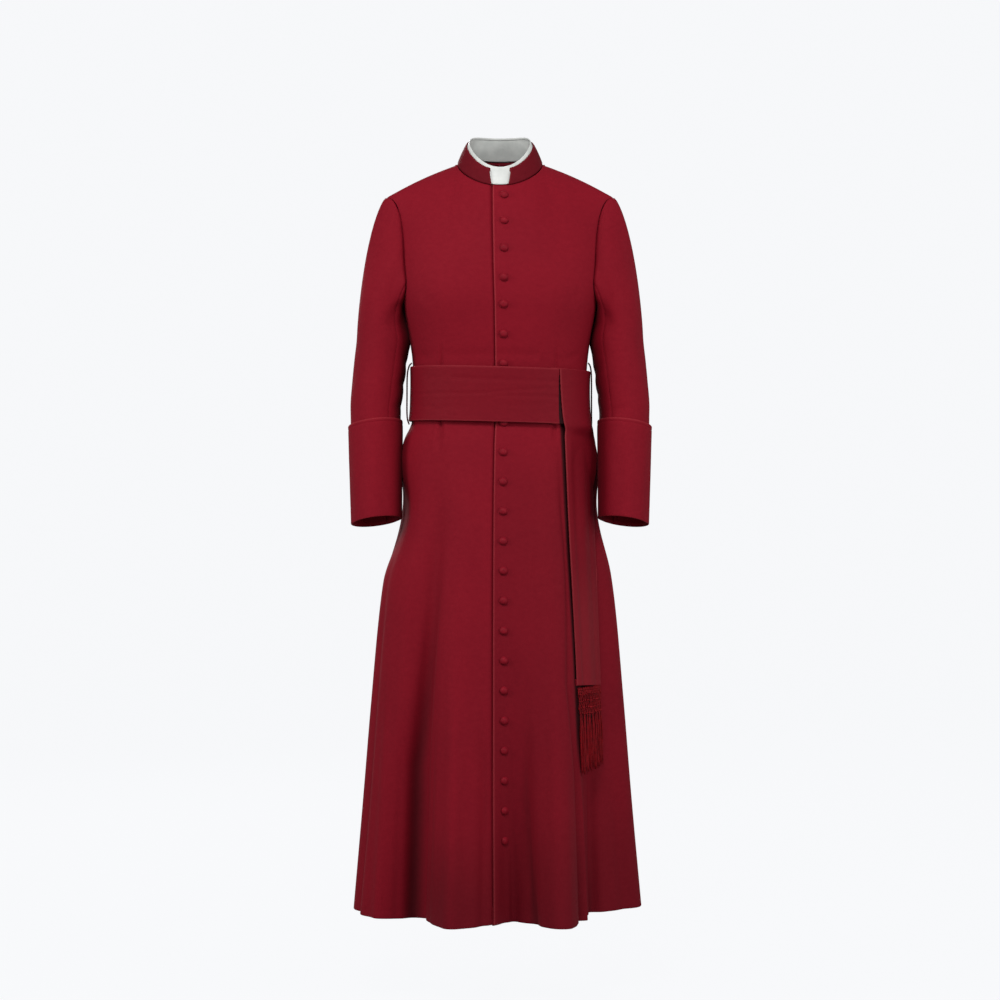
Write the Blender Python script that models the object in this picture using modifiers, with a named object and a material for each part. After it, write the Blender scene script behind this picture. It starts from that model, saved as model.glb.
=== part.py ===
"""Full-length buttoned cassock with standing collar, deep cuffs and a fringed cincture.

Cloth walls stand on horizontal sections of a general figure and keep its hollow form.
+X is the wearer's left, -Y the front, +Z up; the origin lies between the two neck points.
"""
import bpy
from math import atan2, cos, degrees, radians, sin
from mathutils import Vector

# ---------------------------------------------------------------- driving sizes (metres, degrees)
CLOTH = 0.0020            # wall of every garment panel
SEAM = 0.0004             # open gap left along every seam
HEM = -1.370              # height of the hem
UNDERARM = -0.270         # height where the side seam meets the armhole
LAP_DIP = 0.0030          # how far the under front steps in below the lap
UNDERLAP = 8.0            # angle to which the under front runs on below the lap

NECK_HALF = 0.079         # neck base, half width
NECK_FRONT = 0.070        # neck base, reach to the front
NECK_BACK = 0.072         # neck base, reach to the back
NECK_DROP = 0.047         # centre front of the neck base, below the neck points
NECK_RISE = 0.012         # centre back of the neck base, above the neck points
SHOULDER_TIP = (0.2125, -0.006, -0.063)
NECK_ANGLE = 31.0         # the column at this angle runs up to the neck point
COLLAR_LIFT = 0.0012      # collar above the neck edge of the panels

COLLAR_WALL = 0.0024
COLLAR_TOP_HALF = 0.0635
COLLAR_TOP_FRONT = 0.0610
COLLAR_TOP_BACK = 0.0580
COLLAR_TOP_SIDE_Z = 0.0350
COLLAR_TOP_FRONT_Z = -0.0180
COLLAR_TOP_BACK_Z = 0.0500
NOTCH_BASE = 12.0         # half angle of the front notch at the neck base
NOTCH_TOP = 19.0          # half angle of the front notch at the top edge
INSERT_WALL = 0.0012
INSERT_SHOW = 0.0065      # stiff insert above the collar's top edge

BUTTON_RADIUS = 0.0075
BUTTON_HEIGHT = 0.0052
BUTTON_COUNT = 23
BUTTON_SIDES = 8

SASH_TOP = -0.380
SASH_BOTTOM = -0.478
SASH_START = 7.4          # inner end of the band, hidden under the outer end
SASH_END = 397.4          # outer end of the band, once round and 37 degrees on
SASH_STEP = 10.0
SASH_PITCH = 0.0027       # gain in radius in one turn
SASH_SLOPE = 0.0045       # drop of the band toward the wearer's left
FALL_BOTTOM = -0.955
FRINGE_WALL = 0.0044

LOOP_CORD = 0.0014
# Belt loops: side to side place and height down the cord; the left one is drawn close by the fall.
LOOP_PATHS = {
    1.0: [(0.1633, -0.366), (0.1668, -0.371), (0.1692, -0.386), (0.1696, -0.430),
          (0.1696, -0.462), (0.1698, -0.476), (0.1692, -0.4865)],
    -1.0: [(0.1633, -0.366), (0.1680, -0.371), (0.1716, -0.386), (0.1724, -0.430),
           (0.1724, -0.460), (0.1712, -0.472), (0.1682, -0.480)],
}

# Horizontal sections: height, half width, depth to the front, depth to the back,
# squareness (2 is an ellipse), sideways drift of the centre.
BODY = [
    (-1.370, 0.2660, 0.2050, 0.2200, 2.00, -0.0045),
    (-1.175, 0.2490, 0.1900, 0.2030, 2.00, -0.0045),
    (-0.990, 0.2340, 0.1760, 0.1860, 2.05, -0.0040),
    (-0.805, 0.2170, 0.1580, 0.1680, 2.10, -0.0035),
    (-0.657, 0.1945, 0.1400, 0.1520, 2.15, -0.0030),
    (-0.560, 0.1820, 0.1280, 0.1400, 2.20, -0.0020),
    (-0.510, 0.1760, 0.1200, 0.1300, 2.20, -0.0010),
    (-0.478, 0.1635, 0.1130, 0.1160, 2.25, 0.0000),
    (-0.430, 0.1595, 0.1100, 0.1100, 2.30, 0.0000),
    (-0.380, 0.1605, 0.1110, 0.1090, 2.35, 0.0000),
    (-0.330, 0.1660, 0.1160, 0.1130, 2.50, 0.0000),
    (-0.270, 0.1770, 0.1220, 0.1200, 2.80, 0.0000),
]

# Skirt folds: name, angle at the hem, angle at the waist, half width in degrees,
# depth at the hem (out is positive), height where it starts, growth toward the hem.
FOLDS = [
    ("front right flute", -15.0, -20.0, 14.0, 0.042, -0.55, 1.3),
    ("front centre hollow", 7.0, 4.0, 11.0, -0.038, -0.70, 1.5),
    ("front left flute", 22.0, 29.0, 13.0, 0.052, -0.50, 1.2),
    ("left side hollow", 60.0, 66.0, 33.0, -0.064, -0.478, 0.45),
    ("front right valley", -37.0, -37.0, 13.0, -0.038, -0.50, 1.0),
    ("right side roll", -60.0, -57.0, 15.0, 0.010, -0.60, 1.0),
    ("back left flute", 119.0, 122.0, 17.0, 0.020, -0.52, 1.1),
    ("back left valley", 142.0, 144.0, 15.0, -0.030, -0.50, 1.0),
    ("back centre flute", 180.0, 180.0, 22.0, 0.026, -0.52, 1.1),
    ("back right valley", -144.0, -146.0, 15.0, -0.026, -0.50, 0.9),
    ("back right flute", -120.0, -123.0, 16.0, 0.023, -0.56, 1.2),
]

# Dents where the cuffs press on the skirt: name, angle, half width, height, half height, depth.
DENTS = [
    ("beside left cuff", 80.0, 44.0, -0.650, 0.112, 0.0175),
    ("beside right cuff", -80.0, 44.0, -0.652, 0.122, 0.0230),
]

# Columns of each panel, by angle from the centre front; EDGE is the folded edge of the lap.
EDGE = "edge"
# A narrow column beside each seam keeps the walls on its two sides parallel.
LEFT_FRONT = [EDGE, 1.5, 4.5, 8.0, 11.5, 15.0, 18.5, 22.0, 26.0, 31.0, 37.0, 45.0, 55.0, 66.0, 78.0, 89.2, 90.0]
RIGHT_FRONT = [UNDERLAP, 4.5, 1.5, EDGE, "step", -6.5, -10.5, -14.0, -18.0, -22.0, -26.5, -31.0, -38.0,
               -48.0, -60.0, -74.0, -89.2, -90.0]
BACK_HALF = [90.0, 90.8, 100.0, 109.0, 117.0, 125.0, 133.0, 141.0, 149.0, 157.0, 165.0, 172.5, 179.2, 180.0]
LOW_ROWS = [-1.370, -1.190, -1.010, -0.840, -0.665, -0.585, -0.515, -0.478, -0.430, -0.380, -0.325, -0.270]
HIGH_ROWS = [0.035, 0.085, 0.16, 0.27, 0.42, 0.58, 0.74, 0.88, 0.985, 1.0]

# Armhole: share of the way up from the underarm, angle reached by the front and by the back.
ARMHOLE = [
    (0.00, 90.0, 90.0),
    (0.035, 76.0, 102.0),
    (0.085, 64.0, 111.0),
    (0.15, 60.0, 114.0),
    (0.25, 62.0, 113.0),
    (0.38, 66.0, 110.0),
    (0.52, 72.0, 105.0),
    (0.66, 78.0, 100.0),
    (0.79, 83.0, 96.0),
    (0.90, 87.0, 93.0),
    (1.00, 90.0, 90.0),
]

# Sleeve rings of the left arm: height, centre x, centre y, half width, half depth, tilt.
SLEEVE = [
    (-0.300, 0.2180, 0.0000, 0.0458, 0.0640, 0.1),
    (-0.328, 0.2163, -0.0010, 0.0491, 0.0640, 0.2),
    (-0.360, 0.2200, -0.0020, 0.0490, 0.0630, 0.3),
    (-0.400, 0.2245, -0.0040, 0.0485, 0.0620, 0.6),
    (-0.435, 0.2280, -0.0060, 0.0480, 0.0610, 0.9),
    (-0.470, 0.2300, -0.0100, 0.0455, 0.0585, 1.0),
    (-0.560, 0.2297, -0.0200, 0.0445, 0.0565, 1.0),
    (-0.656, 0.2278, -0.0320, 0.0430, 0.0545, 1.0),
]
CUFF = [
    (-0.481, 0.2308, -0.0110, 0.0495, 0.0620, 1.0),
    (-0.570, 0.2295, -0.0210, 0.0475, 0.0600, 1.0),
    (-0.658, 0.2278, -0.0320, 0.0457, 0.0572, 1.0),
]
TILT_FRONT = 0.009
TILT_OUTER = 0.006
SLEEVE_ROWS = [-0.335, -0.380, -0.425, -0.465, -0.560, -0.656]
HEAD_ROWS = [0.0, 0.15, 0.34, 0.56, 0.78, 1.0]
# Way the sleeve head leaves the armhole and comes into the first ring, as shares of its length:
# ring angle (0 outer, 90 front), leave x, leave y, leave z, arrive x, arrive z.
HEAD = [
    (0.0, 0.33, 0.00, -0.49, 0.067, -1.04),
    (90.0, 0.48, -0.30, -0.30, 0.05, -1.10),
    (180.0, 0.06, 0.00, -0.60, -0.20, -1.10),
    (270.0, 0.48, 0.30, -0.30, 0.05, -1.10),
    (360.0, 0.33, 0.00, -0.49, 0.067, -1.04),
]
FRONT_SEAM = 126.0        # ring angle of the long sleeve seam in front of the arm
HIND_SEAM = 252.0         # and of the one behind it

# Fall of the cincture below the band: height, x of its front edge, way it runs back in plan.
FALL = [
    (-0.4780, 0.1178, 59.0),
    (-0.5300, 0.1198, 60.0),
    (-0.6600, 0.1250, 61.0),
    (-0.8000, 0.1320, 62.0),
    (-0.9550, 0.1395, 63.0),
    (-1.1100, 0.1450, 63.0),
]
FALL_WIDTH = 0.100
FALL_START = 41.7         # angle of its front edge at the foot of the band
FALL_LEAN = 2.9           # and how much further forward that edge is at the top of the band
FALL_CLEAR = 0.0045       # outer face of the fall above the skirt


# ---------------------------------------------------------------- small maths
def blend(low, high, share):
    return low + (high - low) * share


def through(front, side, back, c):
    """Smooth value round the neck: front at c = 1, side at c = 0, back at c = -1."""
    return side + (front - back) / 2.0 * c + ((front + back) / 2.0 - side) * c * c


def ease(share):
    share = max(0.0, min(1.0, share))
    return share * share * (3.0 - 2.0 * share)


def table_row(table, key):
    """All columns of a table at a key, on a smooth curve through its rows."""
    rows = sorted(table)
    key = max(rows[0][0], min(rows[-1][0], key))
    at = 0
    while at < len(rows) - 2 and key > rows[at + 1][0]:
        at += 1
    low = rows[at]
    high = rows[at + 1]
    span = high[0] - low[0]
    t = (key - low[0]) / span
    before = rows[max(at - 1, 0)]
    after = rows[min(at + 2, len(rows) - 1)]
    values = []
    for column in range(1, len(low)):
        slope_low = (high[column] - before[column]) / (high[0] - before[0]) * span
        slope_high = (after[column] - low[column]) / (after[0] - low[0]) * span
        values.append(hermite(low[column], slope_low, high[column], slope_high, t))
    return values


def hermite(start, leave, end, arrive, t):
    t2 = t * t
    t3 = t2 * t
    return (start * (2 * t3 - 3 * t2 + 1) + leave * (t3 - 2 * t2 + t)
            + end * (3 * t2 - 2 * t3) + arrive * (t3 - t2))


# ---------------------------------------------------------------- body surface
def fold_depth(angle, z):
    depth = 0.0
    for _name, hem_angle, waist_angle, half, size, start, growth in FOLDS:
        if z >= start:
            continue
        down = (start - z) / (start - HEM)
        middle = blend(waist_angle, hem_angle, (start - z) / (start - HEM))
        away = abs((angle - middle + 180.0) % 360.0 - 180.0) / half
        if away < 1.0:
            depth += size * down ** growth * cos(radians(90.0 * away)) ** 2
    for _name, middle, half, height, half_height, size in DENTS:
        across = abs((angle - middle + 180.0) % 360.0 - 180.0) / half
        along = abs(z - height) / half_height
        if across < 1.0 and along < 1.0:
            depth -= size * (cos(radians(90.0 * across)) * cos(radians(90.0 * along))) ** 2
    return depth


def section(angle, z):
    half, front, back, square, drift = table_row(BODY, z)
    s = sin(radians(angle))
    c = cos(radians(angle))
    reach = (abs(s) ** square + abs(c) ** square) ** (-1.0 / square)
    x = half * reach * s
    y = -(front if c > 0 else back) * reach * c
    out = Vector((x, y, 0.0))
    out = out * (1.0 + fold_depth(angle, z) / out.length)
    return Vector((out.x + drift, out.y, z))


def neck_point(turn):
    """Neck base at a turn from the centre front, in degrees."""
    s = sin(radians(turn))
    c = cos(radians(turn))
    deep = NECK_FRONT if c > 0 else NECK_BACK
    return Vector((NECK_HALF * s, -deep * c, through(-NECK_DROP, 0.0, NECK_RISE, c)))


def top_edge(angle):
    """Neckline, then shoulder seam, reached by the column at this angle; and how it arrives."""
    side = 1.0 if angle >= 0 else -1.0
    turn = abs(angle)
    in_front = turn <= 90.0
    away = turn if in_front else 180.0 - turn
    if away <= NECK_ANGLE:
        along = away / NECK_ANGLE * 90.0
        point = neck_point(along if in_front else 180.0 - along)
    else:
        along = (away - NECK_ANGLE) / (90.0 - NECK_ANGLE)
        tip = Vector(SHOULDER_TIP)
        point = Vector((NECK_HALF, 0.0, 0.0)).lerp(tip, along)
        point.z += 0.004 * sin(radians(180.0 * along))
    toward = ease(away / NECK_ANGLE)
    if in_front:
        arrive = Vector((0.0, blend(0.085, 0.120, toward), blend(0.150, 0.002, toward)))
    else:
        arrive = Vector((0.0, blend(-0.060, -0.120, toward), blend(0.200, 0.002, toward)))
    point.x *= side
    return point, arrive


def surface(angle, level):
    """Outer face: level is a height up to the underarm, then underarm plus a share of the rest."""
    if level <= UNDERARM:
        return section(angle, level)
    start = section(angle, UNDERARM)
    slope = (start - section(angle, UNDERARM - 0.01)) / 0.01
    leave = slope * 0.30
    end, arrive = top_edge(angle)
    t = level - UNDERARM
    return Vector([hermite(start[i], leave[i], end[i], arrive[i], t) for i in range(3)])


def normal(angle, level):
    along = surface(angle + 0.4, level) - surface(angle - 0.4, level)
    high = min(level + 0.006, UNDERARM + 1.0)
    up = surface(angle, high) - surface(angle, level - 0.006)
    return along.cross(up).normalized()


def skin(angle, level, out=0.0):
    point = surface(angle, level)
    if out == 0.0:
        return point
    return point + normal(angle, level) * out


def edge_angle(level):
    """The folded edge of the lap stands a little to the wearer's right of the centre."""
    return blend(-1.2, -3.0, (max(HEM, min(0.0, level)) - HEM) / -HEM)


def squeeze(angle, level, behind=False):
    """Draw the columns in above the underarm so that the last one runs on the armhole."""
    if level <= UNDERARM or abs(angle) <= 12.0:
        return angle
    front, back = table_row(ARMHOLE, level - UNDERARM)
    side = 1.0 if angle >= 0 else -1.0
    if behind:
        return side * (180.0 - (180.0 - abs(angle)) * (180.0 - back) / 90.0)
    return side * (12.0 + (abs(angle) - 12.0) * (front - 12.0) / 78.0)


def levels():
    return LOW_ROWS + [UNDERARM + share for share in HIGH_ROWS]


# ---------------------------------------------------------------- making solids
def paint(obj, colour, roughness=0.85, metallic=0.0):
    material = bpy.data.materials.new(obj.name + "_material")
    material.use_nodes = True
    shader = material.node_tree.nodes["Principled BSDF"]
    shader.inputs["Base Color"].default_value = (*colour, 1.0)
    shader.inputs["Roughness"].default_value = roughness
    shader.inputs["Metallic"].default_value = metallic
    material.diffuse_color = (*colour, 1.0)
    obj.data.materials.append(material)


def put(name, mesh_or_curve):
    obj = bpy.data.objects.new(name, mesh_or_curve)
    GARMENT.objects.link(obj)
    return obj


def cloth_piece(name, rows, colour, wall=CLOTH, closed=False, turned=False, roughness=0.85):
    """A sheet through rows of points, its outer face on the rows, thickened inward."""
    wide = len(rows[0])
    points = [tuple(point) for row in rows for point in row]
    faces = []
    for i in range(len(rows) - 1):
        for j in range(wide if closed else wide - 1):
            k = (j + 1) % wide
            face = (i * wide + j, i * wide + k, (i + 1) * wide + k, (i + 1) * wide + j)
            faces.append(face[::-1] if turned else face)
    mesh = bpy.data.meshes.new(name)
    mesh.from_pydata(points, [], faces)
    obj = put(name, mesh)
    thick = obj.modifiers.new("cloth", "SOLIDIFY")
    thick.thickness = wall
    thick.offset = -1.0
    thick.use_even_offset = False
    thick.use_rim = True
    paint(obj, colour, roughness)
    return obj


def mirrored(rows, side):
    return [[Vector((point.x * side, point.y, point.z)) for point in row] for row in rows]


# ---------------------------------------------------------------- panels
def column_angle(column, level):
    if column == EDGE:
        return edge_angle(level)
    if column == "step":
        return edge_angle(level) - 1.0
    return column


def front_panel(name, columns, under, colour):
    rows = []
    for level in levels():
        row = []
        for column in columns:
            angle = column_angle(column, level)
            start = edge_angle(level)
            out = 0.0
            if under:
                out = -LAP_DIP * ease((angle - (start - 4.5)) / 3.0)
            turn = squeeze(angle, level)
            gap = degrees(SEAM / 2.0 / 0.12)
            if abs(angle) >= 89.9:
                turn -= gap if turn > 0 else -gap
            point = skin(turn, level, out)
            if level >= UNDERARM + 0.999 and abs(angle) >= NECK_ANGLE:
                point.y -= SEAM
            row.append(point)
        rows.append(row)
    turned = columns[0] != EDGE
    return cloth_piece(name, rows, colour, turned=turned)


def back_panel(name, side, colour):
    rows = []
    for level in levels():
        row = []
        for column in BACK_HALF:
            gap = degrees(SEAM / 2.0 / 0.12)
            angle = squeeze(column * side, level, behind=True)
            if column == BACK_HALF[0]:
                angle += gap * side
            if column == BACK_HALF[-1]:
                angle -= gap * side
            point = skin(angle, level)
            if level >= UNDERARM + 0.999 and column <= 180.0 - NECK_ANGLE:
                point.y += SEAM
            row.append(point)
        rows.append(row)
    return cloth_piece(name, rows, colour, turned=side < 0)


# ---------------------------------------------------------------- sleeves
def armhole_point(share, in_front):
    front, back = table_row(ARMHOLE, share)
    return surface(front if in_front else back, UNDERARM + share)


def armhole_ring(psi):
    """Armhole at a ring angle: 0 at the shoulder tip, 90 in front, 180 at the underarm."""
    in_front = psi <= 180.0
    goal = (psi if in_front else 360.0 - psi) / 180.0
    steps = 60
    points = [armhole_point(1.0 - i / steps, in_front) for i in range(steps + 1)]
    lengths = [0.0]
    for first, second in zip(points, points[1:]):
        lengths.append(lengths[-1] + (second - first).length)
    goal *= lengths[-1]
    for i in range(steps):
        if lengths[i + 1] >= goal:
            share = (goal - lengths[i]) / (lengths[i + 1] - lengths[i])
            return points[i].lerp(points[i + 1], share)
    return points[-1]


def tube_ring(table, psi, z):
    cx, cy, half, deep, tilt = table_row(table, z)
    across = cos(radians(psi))
    ahead = sin(radians(psi))
    lift = tilt * (TILT_FRONT * ahead - TILT_OUTER * across)
    return Vector((cx + half * across, cy - deep * ahead, z + lift))


def sleeve_column(psi):
    psi = psi % 360.0
    start = armhole_ring(psi) + Vector((4.0 * SEAM, 0.0, 0.0))
    end = tube_ring(SLEEVE, psi, SLEEVE[0][0])
    length = (end - start).length
    leave_x, leave_y, leave_z, arrive_x, arrive_z = table_row(HEAD, psi)
    leave = Vector((leave_x, leave_y, leave_z)) * length
    arrive = Vector((arrive_x, 0.0, arrive_z)) * length
    column = []
    for t in HEAD_ROWS:
        column.append(Vector([hermite(start[i], leave[i], end[i], arrive[i], t) for i in range(3)]))
    for z in SLEEVE_ROWS:
        column.append(tube_ring(SLEEVE, psi, z))
    return column


def sleeve_piece(name, side, first, last, colour):
    gap = degrees(2.0 * SEAM / 0.05)
    between = int(round((last - first) / 18.0)) - 1
    turns = [first + gap, first + gap + 1.0]
    turns += [first + 18.0 * (i + 1) for i in range(between)]
    turns += [last - gap - 1.0, last - gap]
    columns = [sleeve_column(psi) for psi in turns]
    rows = [list(row) for row in zip(*columns)]
    return cloth_piece(name, mirrored(rows, side), colour, turned=side < 0)


def cuff_piece(name, side, colour):
    rows = []
    for z, *_rest in CUFF:
        rows.append([tube_ring(CUFF, 18.0 * i, z) for i in range(20)])
    return cloth_piece(name, mirrored(rows, side), colour, closed=True, turned=side < 0)


# ---------------------------------------------------------------- collar
def collar_point(turn, share, inward=0.0, beyond=0.0):
    s = sin(radians(turn))
    c = cos(radians(turn))
    base = neck_point(turn) + Vector((0.0, 0.0, COLLAR_LIFT))
    reach = COLLAR_TOP_FRONT if c > 0 else COLLAR_TOP_BACK
    top_z = through(COLLAR_TOP_FRONT_Z, COLLAR_TOP_SIDE_Z, COLLAR_TOP_BACK_Z, c)
    top = Vector((COLLAR_TOP_HALF * s, -reach * c, top_z))
    up = (top - base).normalized()
    point = base.lerp(top, share) + up * beyond
    out = Vector((s / NECK_HALF, -c / NECK_FRONT, 0.0)).normalized()
    return point - out * inward


def collar_piece(name, colour):
    count = 30
    rows = []
    for share in (0.0, 0.5, 1.0):
        start = blend(NOTCH_BASE, NOTCH_TOP, share)
        row = []
        for i in range(count + 1):
            row.append(collar_point(start + (360.0 - 2 * start) * i / count, share))
        rows.append(row)
    return cloth_piece(name, rows, colour, wall=COLLAR_WALL)


def insert_piece(name, colour):
    inward = COLLAR_WALL + 0.0012
    rows = []
    for share, beyond in ((0.03, 0.0), (0.5, 0.0), (1.0, INSERT_SHOW)):
        rows.append([collar_point(15.0 * i, share, inward, beyond) for i in range(24)])
    return cloth_piece(name, rows, colour, wall=INSERT_WALL, closed=True, roughness=0.5)


# ---------------------------------------------------------------- buttons
def button_height(index):
    """Heights of the buttons: slightly closer over the first four, then even."""
    if index < 4:
        return -0.0655 - 0.0475 * index - 0.0012 * index * index
    return -0.2668 - 0.0533 * (index - 4)


def level_at(angle, z):
    if z <= UNDERARM:
        return z
    low = 0.0
    high = 1.0
    for _step in range(30):
        middle = (low + high) / 2.0
        if surface(angle, UNDERARM + middle).z < z:
            low = middle
        else:
            high = middle
    return UNDERARM + low


def neighbours(steps, key):
    """The two steps of an ascending list on either side of a key, and the share between them."""
    at = 0
    while at < len(steps) - 2 and key > steps[at + 1]:
        at += 1
    return steps[at], steps[at + 1], (key - steps[at]) / (steps[at + 1] - steps[at])


def lap_frame(angle, level):
    """Point and outward direction on the left front's own facet at this angle and level."""
    left, right, across = neighbours(LEFT_FRONT[1:], angle)
    low, high, up = neighbours(levels(), level)
    corners = [skin(left, low), skin(right, low), skin(left, high), skin(right, high)]
    bottom = corners[0].lerp(corners[1], across)
    top = corners[2].lerp(corners[3], across)
    out = (corners[3] - corners[0]).cross(corners[2] - corners[1]).normalized()
    return bottom.lerp(top, up), out


def button_piece(name, index, colour):
    z = button_height(index)
    angle = blend(2.0, 3.0, index / (BUTTON_COUNT - 1))
    point, out = lap_frame(angle, level_at(angle, z))
    outline = [(0.0, 1.0), (0.56, 0.86), (1.0, 0.36), (0.84, 0.0), (0.0, 0.0)]
    points = [(share * BUTTON_RADIUS, 0.0, high * BUTTON_HEIGHT) for share, high in outline]
    mesh = bpy.data.meshes.new(name)
    mesh.from_pydata(points, [(i, i + 1) for i in range(len(points) - 1)], [])
    obj = put(name, mesh)
    turn = obj.modifiers.new("turned", "SCREW")
    turn.axis = "Z"
    turn.steps = BUTTON_SIDES
    turn.render_steps = BUTTON_SIDES
    turn.use_merge_vertices = True
    turn.merge_threshold = 0.0001
    obj.location = point + out * 3.0 * SEAM
    obj.rotation_mode = "QUATERNION"
    obj.rotation_quaternion = out.to_track_quat("Z", "Y")
    paint(obj, colour, 0.7)
    return obj


# ---------------------------------------------------------------- cincture
def sash_point(angle, share):
    """Outer face of the band, drawn round the waist and clear of the button under it."""
    z = blend(SASH_BOTTOM, SASH_TOP, share)
    half, front, back, square, _drift = table_row(BODY, z)
    turns = (angle - SASH_START) / 360.0
    out = 0.0018 + CLOTH + SASH_PITCH * turns
    s = sin(radians(angle))
    c = cos(radians(angle))
    reach = (abs(s) ** square + abs(c) ** square) ** (-1.0 / square)
    deep = front + 0.0048 if c > 0 else back
    x = (half + out) * reach * s
    y = -(deep + out) * reach * c
    return Vector((x, y, z - SASH_SLOPE * x / half))


def sash_piece(name, colour):
    count = int(round((SASH_END - SASH_START) / SASH_STEP))
    rows = []
    for share in (0.0, 0.5, 1.0):
        rows.append([sash_point(SASH_START + SASH_STEP * i, share) for i in range(count + 1)])
    return cloth_piece(name, rows, colour, roughness=0.75)


def fall_on_band(share, high, out):
    """Point on the stretch that lies over the band, a share of the way back."""
    angle = FALL_START - FALL_LEAN * high + share * 45.0
    point = sash_point(angle, high)
    along = sash_point(angle + 0.5, high) - sash_point(angle - 0.5, high)
    return point + Vector((along.y, -along.x, 0.0)).normalized() * (CLOTH + 0.0007 + out)


def fall_hanging(z, share, out):
    """Point on the free stretch: a straight line in plan, or the skirt where that stands further out."""
    front_x, way = table_row(FALL, z)
    low = 28.0
    high = 60.0
    for _step in range(24):
        middle = (low + high) / 2.0
        if skin(middle, z, FALL_CLEAR).x < front_x:
            low = middle
        else:
            high = middle
    front = skin(low, z, FALL_CLEAR)
    across = Vector((cos(radians(way)), sin(radians(way)), 0.0))
    point = front + across * FALL_WIDTH * share
    away = Vector((across.y, -across.x, 0.0))
    point += away * 0.004 * sin(radians(180.0 * share))
    half, front_deep, _back, _square, drift = table_row(BODY, z)
    below = section(degrees(atan2((point.x - drift) / half, -point.y / front_deep)), z)
    least = below.xy.length + FALL_CLEAR
    if point.xy.length < least:
        point.xy = point.xy * (least / point.xy.length)
    return point + away * out


def fall_point(z, share, out=0.0):
    if z >= SASH_BOTTOM:
        return fall_on_band(share, (z - SASH_BOTTOM) / (SASH_TOP - SASH_BOTTOM), out)
    return fall_hanging(z, share, out)


def fall_piece(name, colour):
    heights = [FALL_BOTTOM, -0.870, -0.780, -0.690, -0.610, -0.550, -0.510, -0.478, -0.430, -0.380]
    rows = [[fall_point(z, i / 6.0) for i in range(7)] for z in heights]
    return cloth_piece(name, rows, colour, roughness=0.75)


def fringe_piece(name, colour):
    rows = []
    for share in (0.0, 0.5, 1.0):
        row = []
        for i in range(7):
            low = blend(-1.112, -1.098, i / 6.0)
            row.append(fall_point(blend(low, FALL_BOTTOM - SEAM, share), i / 6.0, 0.0010))
        rows.append(row)
    return cloth_piece(name, rows, colour, wall=FRINGE_WALL, roughness=0.9)


def belt_loop_piece(name, side, colour):
    """Cord from just above the band, over it, to just below it."""
    path = LOOP_PATHS[side]
    curve = bpy.data.curves.new(name, "CURVE")
    curve.dimensions = "3D"
    curve.bevel_depth = LOOP_CORD
    curve.bevel_resolution = 1
    curve.use_fill_caps = True
    line = curve.splines.new("POLY")
    line.points.add(len(path) - 1)
    for point, (x, z) in zip(line.points, path):
        point.co = (x * side, 0.008, z, 1.0)
    obj = put(name, curve)
    paint(obj, colour, 0.7)
    return obj


# ---------------------------------------------------------------- build
for old in list(bpy.data.objects):
    bpy.data.objects.remove(old, do_unlink=True)

GARMENT = bpy.data.collections.new("cassock")
bpy.context.scene.collection.children.link(GARMENT)

WOOL = (0.215, 0.012, 0.021)
WOOL_DARK = (0.185, 0.010, 0.018)
SASH_RED = (0.165, 0.011, 0.018)
FRINGE_RED = (0.100, 0.006, 0.010)
WHITE = (0.820, 0.830, 0.800)

front_panel("front_left", LEFT_FRONT, False, WOOL)
front_panel("front_right", RIGHT_FRONT, True, WOOL)
back_panel("back_left", 1.0, WOOL_DARK)
back_panel("back_right", -1.0, WOOL_DARK)
for label, way in (("left", 1.0), ("right", -1.0)):
    sleeve_piece("sleeve_top_" + label, way, HIND_SEAM - 360.0, FRONT_SEAM, WOOL)
    sleeve_piece("sleeve_under_" + label, way, FRONT_SEAM, HIND_SEAM, WOOL)
    cuff_piece("cuff_" + label, way, WOOL)
    belt_loop_piece("belt_loop_" + label, way, SASH_RED)
collar_piece("collar", WOOL)
insert_piece("collar_insert", WHITE)
for number in range(BUTTON_COUNT):
    button_piece("button_%02d" % (number + 1), number, WOOL)
sash_piece("cincture_band", SASH_RED)
fall_piece("cincture_fall", SASH_RED)
fringe_piece("cincture_fringe", FRINGE_RED)
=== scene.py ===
"""Looks of the buttoned cassock: cloth shells, creases, seams, buttons, fringe, materials and light.

Every piece is a thin cloth shell on the form of its CAD solid, so the sizes below are the
sizes of the CAD part. +X is the wearer's left, -Y the front, +Z up, all in metres.
"""

from math import cos, pi, radians, sin

import bpy
import numpy as np
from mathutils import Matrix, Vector


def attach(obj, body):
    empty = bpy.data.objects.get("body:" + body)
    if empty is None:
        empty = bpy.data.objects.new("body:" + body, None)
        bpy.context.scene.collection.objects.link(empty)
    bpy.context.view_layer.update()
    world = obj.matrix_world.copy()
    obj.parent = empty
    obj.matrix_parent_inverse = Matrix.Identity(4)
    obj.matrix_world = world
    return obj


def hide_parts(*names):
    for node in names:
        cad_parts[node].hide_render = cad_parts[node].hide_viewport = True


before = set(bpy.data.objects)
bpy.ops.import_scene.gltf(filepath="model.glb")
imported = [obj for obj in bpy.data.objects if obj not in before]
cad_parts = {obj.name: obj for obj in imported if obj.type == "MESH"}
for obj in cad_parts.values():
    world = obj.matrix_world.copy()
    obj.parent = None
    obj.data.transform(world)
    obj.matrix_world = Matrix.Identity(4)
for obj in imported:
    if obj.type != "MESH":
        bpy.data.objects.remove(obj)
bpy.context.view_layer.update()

# ---------------------------------------------------------------- sizes shared with the CAD part
HEM = -1.370
UNDERARM = -0.270
UNDERLAP = 8.0            # degrees to which the under front runs on below the lap
NECK_HALF = 0.079
NECK_FRONT = 0.070
NECK_BACK = 0.072
NECK_DROP = 0.047
NECK_RISE = 0.012
SHOULDER_TIP = (0.2125, -0.006, -0.063)
NECK_ANGLE = 31.0
COLLAR_LIFT = 0.0012
COLLAR_TOP_HALF = 0.0635
COLLAR_TOP_FRONT = 0.0610
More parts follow.
